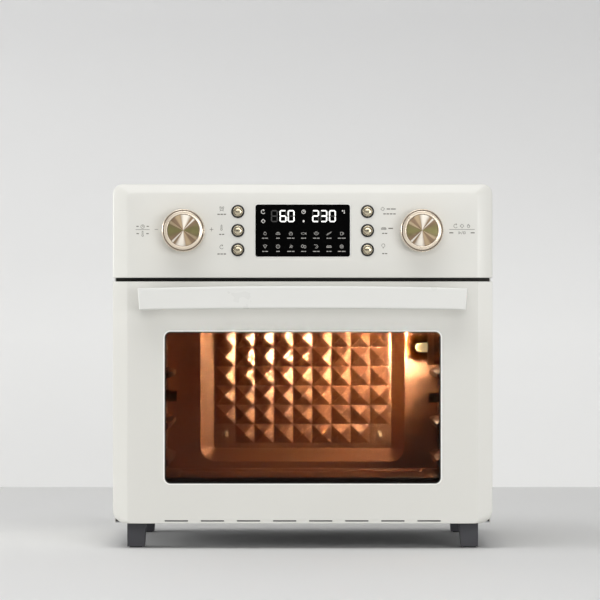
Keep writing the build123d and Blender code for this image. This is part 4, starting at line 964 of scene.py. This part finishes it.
def panel_moulding():
    """Control panel with softly rounded edges, an even wall and its openings."""
    low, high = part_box("control_panel")
    z0, z1 = low.z / MM, high.z / MM
    wall = PANEL_WALL
    slope = PANEL_BEVEL_BACK
    shape = bmesh.new()
    outer = [(-CREASE, 0), (0, CREASE * slope / 4), (CREASE, CREASE * slope)]
    outer += [(0.92, 0.92 * slope), (0.97, slope * 0.99 + 0.1), (0.993, slope + 0.6), (1, slope + 1.5)]
    outer += [(1, SHELL_FRONT)]
    rings = [panel_ring(shape, share, depth, z0, z1) for share, depth in outer]
    shrink = wall / PANEL_BEVEL_SIDE
    inner = [(1 - shrink, SHELL_FRONT), (1 - shrink, slope + 2 * wall), (-CREASE, wall)]
    rings += [panel_ring(shape, share, depth, z0 + wall, z1 - wall) for share, depth in inner]
    skin(shape, rings)
    outlines = panel_openings()
    front_holes = [front_ring(shape, points, 0) for points in outlines]
    back_holes = [front_ring(shape, points, wall) for points in outlines]
    for first, second in zip(front_holes, back_holes):
        bridge(shape, first, second)
    holed(shape, rings[0], front_holes)
    holed(shape, rings[-1], back_holes)
    panel = new_piece("panel_moulding", shape, "cream_moulding", "oven", 40)
    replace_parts(panel, "control_panel")


def offset_loop(points, amount):
    """Closed loop moved outward by an amount, in millimetres."""
    moved = []
    count = len(points)
    for index, (x, z) in enumerate(points):
        before = points[index - 1]
        after = points[(index + 1) % count]
        along = Vector((after[0] - before[0], after[1] - before[1])).normalized()
        moved.append((x + along.y * amount, z - along.x * amount))
    return moved


HANDLE_T = 8.0
HANDLE_CROWN = 2.3
HANDLE_BELLY = 1.3
HANDLE_NARROWING = 1.5
HANDLE_STEPS = 12
HANDLE_ROUND = [
    (-2.4, 0.0), (-1.6, 0.0), (-0.9, 0.12), (-0.4, 0.45), (-0.1, 1.0), (0, 1.7), (0, 6.6), (-0.3, 7.5),
    (-1.2, HANDLE_T),
]
POST_HALF_W = 7.5
POST_HALF_H = 8.3
POST_CORNER = 2.5
POST_FLARE = 7.0
POST_FLARE_POWER = 1.6
POST_LAP = 0.4


def handle_outline(low, high):
    """Bowed outline of the handle's bar, counter-clockwise."""
    half_top = high.x / MM
    half_low = half_top - HANDLE_NARROWING
    top_end = high.z / MM - HANDLE_CROWN
    shares = [1 - step / HANDLE_STEPS for step in range(2 * HANDLE_STEPS + 1)]
    points = [(half_top * share, top_end + HANDLE_CROWN * (1 - share * share)) for share in shares]
    for share in shares:
        points.append((-half_low * share, low.z / MM + HANDLE_BELLY * (1 - share * share)))
    return points


def handle_post(shape, x, z, back):
    """Post from the bar to the door, flared toward the middle where it meets the bar."""
    sign = math.copysign(1, x)
    loops = []
    for share in (0, 0.15, 0.4, 0.7, 1.0):
        inner = POST_HALF_W + POST_FLARE * (1 - share) ** POST_FLARE_POWER
        x0, x1 = sorted((x + sign * POST_HALF_W, x - sign * inner))
        low, high = Vector((x0, 0, z - POST_HALF_H)), Vector((x1, 0, z + POST_HALF_H))
        outline = flat(rounded_loop(low, high, POST_CORNER))
        loops.append(front_ring(shape, outline, (back - POST_LAP) * (1 - share)))
    skin(shape, loops, capped=True)


def handle():
    """Handle's bowed bar with rounded edges, on two flared posts."""
    low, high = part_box("door_handle")
    front = (low.y - FACE_Y) / MM
    shape = bmesh.new()
    outline = handle_outline(low, high)
    rings = [front_ring(shape, offset_loop(outline, out), front + depth) for out, depth in HANDLE_ROUND]
    skin(shape, rings, capped=True)
    middle_z = (low.z + high.z) / 2 / MM
    for screw_low, screw_high, _ in islands("handle_screws"):
        handle_post(shape, (screw_low.x + screw_high.x) / 2 / MM, middle_z, front + HANDLE_T)
    bar = new_piece("door_handle_bar", shape, "handle_cream", "door", 40)
    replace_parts(bar, "door_handle")


def tube(shape, path, radius, sides=16):
    """Round tube along points in metres, closed at its ends."""
    rings = []
    side = None
    for index, point in enumerate(path):
        ahead = (path[min(index + 1, len(path) - 1)] - path[max(index - 1, 0)]).normalized()
        if side is None:
            side = ahead.orthogonal()
        side = (side - ahead * side.dot(ahead)).normalized()
        up = ahead.cross(side)
        turns = [2 * math.pi * step / sides for step in range(sides)]
        around = [(side * math.cos(t) + up * math.sin(t)) * radius for t in turns]
        rings.append([shape.verts.new(point + away) for away in around])
    skin(shape, rings, capped=True)


SPRING_TURNS = 4
SPRING_TURN_STEPS = 20
SPRING_WIRE_R = 0.45


def springs():
    """Coil springs on the hinge pins."""
    shape = bmesh.new()
    wire = SPRING_WIRE_R * MM
    steps = SPRING_TURNS * SPRING_TURN_STEPS
    for low, high, _ in islands("hinge_springs"):
        centre = (low + high) / 2
        radius = (high.z - low.z) / 2 - wire
        length = high.x - low.x - 2 * wire
        path = []
        for step in range(steps + 1):
            turn = 2 * math.pi * step / SPRING_TURN_STEPS
            across = Vector((0, math.cos(turn), math.sin(turn))) * radius
            path.append(Vector((low.x + wire + length * step / steps, centre.y, centre.z)) + across)
        tube(shape, path, wire, 10)
    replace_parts(new_piece("hinge_coils", shape, "spring_steel", "oven"), "hinge_springs")


ELEMENT_RADIUS = 72.0
ELEMENT_TUBE = 3.25
ELEMENT_GAP_ANGLE = 18.0
ELEMENT_BEND = 6.0
ELEMENT_STEPS = 72


def element():
    """Bent heating tube with upturned ends."""
    low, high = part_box("heating_element")
    ring_z = low.z / MM + ELEMENT_TUBE
    centre_y = high.y / MM - ELEMENT_TUBE - ELEMENT_RADIUS
    top = high.z / MM
    bend = ELEMENT_BEND
    first = math.radians(-90 + ELEMENT_GAP_ANGLE)
    last = math.radians(270 - ELEMENT_GAP_ANGLE)
    skip = bend / ELEMENT_RADIUS

    def on_ring(turn, up):
        """Point above the ring, in millimetres."""
        away = Vector((math.cos(turn), math.sin(turn), 0)) * ELEMENT_RADIUS
        return Vector((0, centre_y, ring_z + up)) + away

    def rise(turn, way):
        """Points from a leg's top down to the ring."""
        corner = [on_ring(turn, top - ring_z), on_ring(turn, bend)]
        for step in range(1, 6):
            share = math.pi / 2 * step / 6
            corner.append(on_ring(turn + way * skip * (1 - math.cos(share)), bend * (1 - math.sin(share))))
        return corner

    path = rise(first, 1)
    around = last - first - 2 * skip
    path += [on_ring(first + skip + around * step / ELEMENT_STEPS, 0) for step in range(ELEMENT_STEPS + 1)]
    path += rise(last, -1)[::-1]
    shape = bmesh.new()
    tube(shape, [point * MM for point in path], ELEMENT_TUBE * MM)
    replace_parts(new_piece("element_tube", shape, "dark_steel", "oven"), "heating_element")


GASKET_CORNER = 12.0


def gasket():
    """Rubber seal with a rounded lip."""
    low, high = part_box("door_gasket")
    depth = (high.y - low.y) / MM
    loop = rounded_loop(low, high, GASKET_CORNER * MM)
    profile = [(0, -depth), (0, -1.4), (-0.5, -0.4), (-1.3, 0)]
    profile += [(-2.6, 0), (-3.5, -0.4), (-4.0, -1.4), (-4.0, -depth)]
    seal = swept_frame("gasket_seal", loop, profile, low.y, "black_rubber", "oven")
    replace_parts(seal, "door_gasket")


def screw_heads():
    """Round screw heads with a recess, in place of the plain ones."""
    shape = bmesh.new()
    for low, high, points in islands("panel_screws"):
        centre = (low + high) / 2
        size = high - low
        axis = 1 if size.y > size.z else 2
        others = [index for index in range(3) if index != axis]
        radius = min(size[index] for index in others) / 2
        spread = [(math.hypot(*[p[index] - centre[index] for index in others]), p[axis]) for p in points]
        wide = [along for away, along in spread if away > radius * 0.95]
        head = sum(wide) / len(wide)
        outward = 1 if head > centre[axis] else -1
        end = centre.copy()
        end[axis] = (high if outward > 0 else low)[axis]
        direction = [0, 0, 0]
        direction[axis] = outward
        thick = 2 * abs(end[axis] - head) / MM
        length = size[axis] / MM
        r = radius / MM
        profile = [(0, -0.9), (0.25 * r, -0.9), (0.42 * r, -0.1), (0.6 * r, 0), (0.85 * r, -0.2 * thick)]
        profile += [(r, -0.6 * thick), (r, -thick), (0.5 * r, -thick), (0.5 * r, -length), (0, -length)]
        turned(shape, profile, toward(end, direction), 32)
    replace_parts(new_piece("screw_set", shape, "champagne_metal", "oven"), "panel_screws")


def moulded_pieces():
    panel_moulding()
    handle()
    springs()
    element()
    gasket()
    screw_heads()


# Stage


def backdrop(name, color, other, low, high):
    """Plain matt finish whose colour fades with height, a painted shade where its two colours differ, clear
    from behind.
    """
    made = Paint(name, color, 0.7)
    where = made.node("ShaderNodeTexCoord")
    split = made.node("ShaderNodeSeparateXYZ")
    made.link(where.outputs["Object"], split.inputs["Vector"])
    made.blended((made.span(split.outputs["Z"], 0.0, 1.0, low, high), other))
    side = made.node("ShaderNodeNewGeometry")
    unseen = made.node("ShaderNodeBsdfTransparent")
    mix = made.node("ShaderNodeMixShader")
    made.link(side.outputs["Backfacing"], mix.inputs["Fac"])
    made.link(made.shader.outputs["BSDF"], mix.inputs[1])
    made.link(unseen.outputs["BSDF"], mix.inputs[2])
    made.link(mix.outputs["Shader"], made.tree.nodes["Material Output"].inputs["Surface"])
    return made.material


WALL_BEHIND = 1.288
STAGE_HALF_W = 4.0
STAGE_FRONT_Y = -6.0
WALL_TOP_Z = 4.0


def stage():
    """Pale floor, and a pale wall with painted shade towards its top."""
    x = STAGE_HALF_W
    wall_y = FACE_Y + WALL_BEHIND
    for name, points, finish in (
        ("floor", [(-x, STAGE_FRONT_Y, 0), (x, STAGE_FRONT_Y, 0), (x, wall_y, 0), (-x, wall_y, 0)],
         backdrop("floor", (218, 218, 217), (218, 218, 217), 0, 1)),
        # The wall darkens towards its top: painted shade for light falling off with height.
        ("wall", [(-x, wall_y, 0), (x, wall_y, 0), (x, wall_y, WALL_TOP_Z), (-x, wall_y, WALL_TOP_Z)],
         backdrop("wall", (232, 232, 231), (204, 204, 204), 0.2, 0.62)),
    ):
        mesh = bpy.data.meshes.new(name)
        mesh.from_pydata(points, [], [(0, 1, 2, 3)])
        mesh.materials.append(finish)
        obj = bpy.data.objects.new(name, mesh)
        bpy.context.scene.collection.objects.link(obj)


def softbox(name, place, target, size, power):
    """Large soft lamp aimed at a point."""
    data = bpy.data.lights.new(name, "AREA")
    data.shape = "RECTANGLE"
    data.size, data.size_y = size
    data.energy = power
    made = bpy.data.objects.new(name, data)
    made.location = place
    made.rotation_euler = (Vector(target) - Vector(place)).to_track_quat("-Z", "Y").to_euler()
    bpy.context.scene.collection.objects.link(made)


ROOM_LIGHT = 0.4
ROOM_DARK = 0.05


def room():
    """Soft room light, darker round the place that the front looks at."""
    world = bpy.data.worlds.new("room")
    bpy.context.scene.world = world
    world.use_nodes = True
    tree = world.node_tree
    where = tree.nodes.new("ShaderNodeTexCoord")
    split = tree.nodes.new("ShaderNodeSeparateXYZ")
    tree.links.new(where.outputs["Generated"], split.inputs["Vector"])
    height = tree.nodes.new("ShaderNodeMath")
    height.operation = "ABSOLUTE"
    tree.links.new(split.outputs["Z"], height.inputs[0])
    both = tree.nodes.new("ShaderNodeMath")
    both.operation = "MULTIPLY"
    for source, full, gone, target in (
        (height.outputs[0], 0.08, 0.22, both.inputs[0]), (split.outputs["Y"], -0.985, -0.94, both.inputs[1]),
    ):
        fade = tree.nodes.new("ShaderNodeMapRange")
        fade.interpolation_type = "SMOOTHSTEP"
        for socket, value in (("From Min", full), ("From Max", gone), ("To Min", 1.0), ("To Max", 0.0)):
            fade.inputs[socket].default_value = value
        tree.links.new(source, fade.inputs["Value"])
        tree.links.new(fade.outputs["Result"], target)
    level = tree.nodes.new("ShaderNodeMapRange")
    level.inputs["To Min"].default_value = ROOM_LIGHT
    level.inputs["To Max"].default_value = ROOM_DARK
    tree.links.new(both.outputs[0], level.inputs["Value"])
    background = tree.nodes["Background"]
    background.inputs["Color"].default_value = (1, 1, 1, 1)
    tree.links.new(level.outputs["Result"], background.inputs["Strength"])


def lights():
    """Large soft lamps from above, in front and at both sides, none where the display reflects it."""
    aim = (0, FACE_Y, 0.2)
    softbox("key", (-0.2, -1.25, 2.5), aim, (2.4, 1.4), 31)
    softbox("front", (0.5, -3.4, 1.15), aim, (2.6, 0.7), 17)
    softbox("low", (1.6, -3.0, 0.3), aim, (1.4, 0.6), 21)
    softbox("left", (-3.0, -0.3, 0.6), aim, (1.4, 1.4), 54)
    softbox("right", (2.0, -1.3, 0.6), aim, (1.4, 1.2), 1.5)


LAMP_COLOR = (1.0, 0.82, 0.5)
LAMP_RADIUS = 0.004
LAMP_AHEAD = 0.005


def warm_lamp(name, kind, power, place):
    """Small warm lamp at a place."""
    data = bpy.data.lights.new(name, kind)
    data.energy = power
    data.color = LAMP_COLOR
    data.shadow_soft_size = LAMP_RADIUS
    made = bpy.data.objects.new(name, data)
    made.location = place
    bpy.context.scene.collection.objects.link(made)
    return made


def oven_lamp():
    """Warm light inside the lamp's glass, most of it turned to the back of the cavity."""
    centre = middle("lamp_bulb")
    place = (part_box("lamp_bulb")[0].x - LAMP_AHEAD, centre.y, centre.z)
    beam = warm_lamp("lamp_beam", "SPOT", 17.5, place)
    beam.data.spot_size = math.radians(130)
    beam.data.spot_blend = 0.85
    beam.rotation_euler = Vector((-0.66, 0.75, 0.0)).to_track_quat("-Z", "Y").to_euler()
    warm_lamp("lamp_glow", "POINT", 1.3, place)


def camera():
    """Nearly square view from far off, as in the photograph."""
    data = bpy.data.cameras.new("camera")
    data.sensor_width = SENSOR_MM
    data.lens = SENSOR_MM * FOCAL_PX / IMAGE_PX
    data.clip_end = 50
    made = bpy.data.objects.new("camera", data)
    made.location = (CAMERA_X, FACE_Y - CAMERA_BACK, CAMERA_Z)
    made.rotation_euler = (math.radians(90), 0, 0)
    bpy.context.scene.collection.objects.link(made)
    bpy.context.scene.camera = made


knobs()
buttons()
digits()
display_icons()
panel_marks()
window_trims()
display_trim()
# Painted shade in the door's air slots.
painted_slot_shade()
lamp()
moulded_pieces()
stage()
room()
lights()
oven_lamp()
camera()
bpy.context.scene.view_settings.view_transform = "Standard"
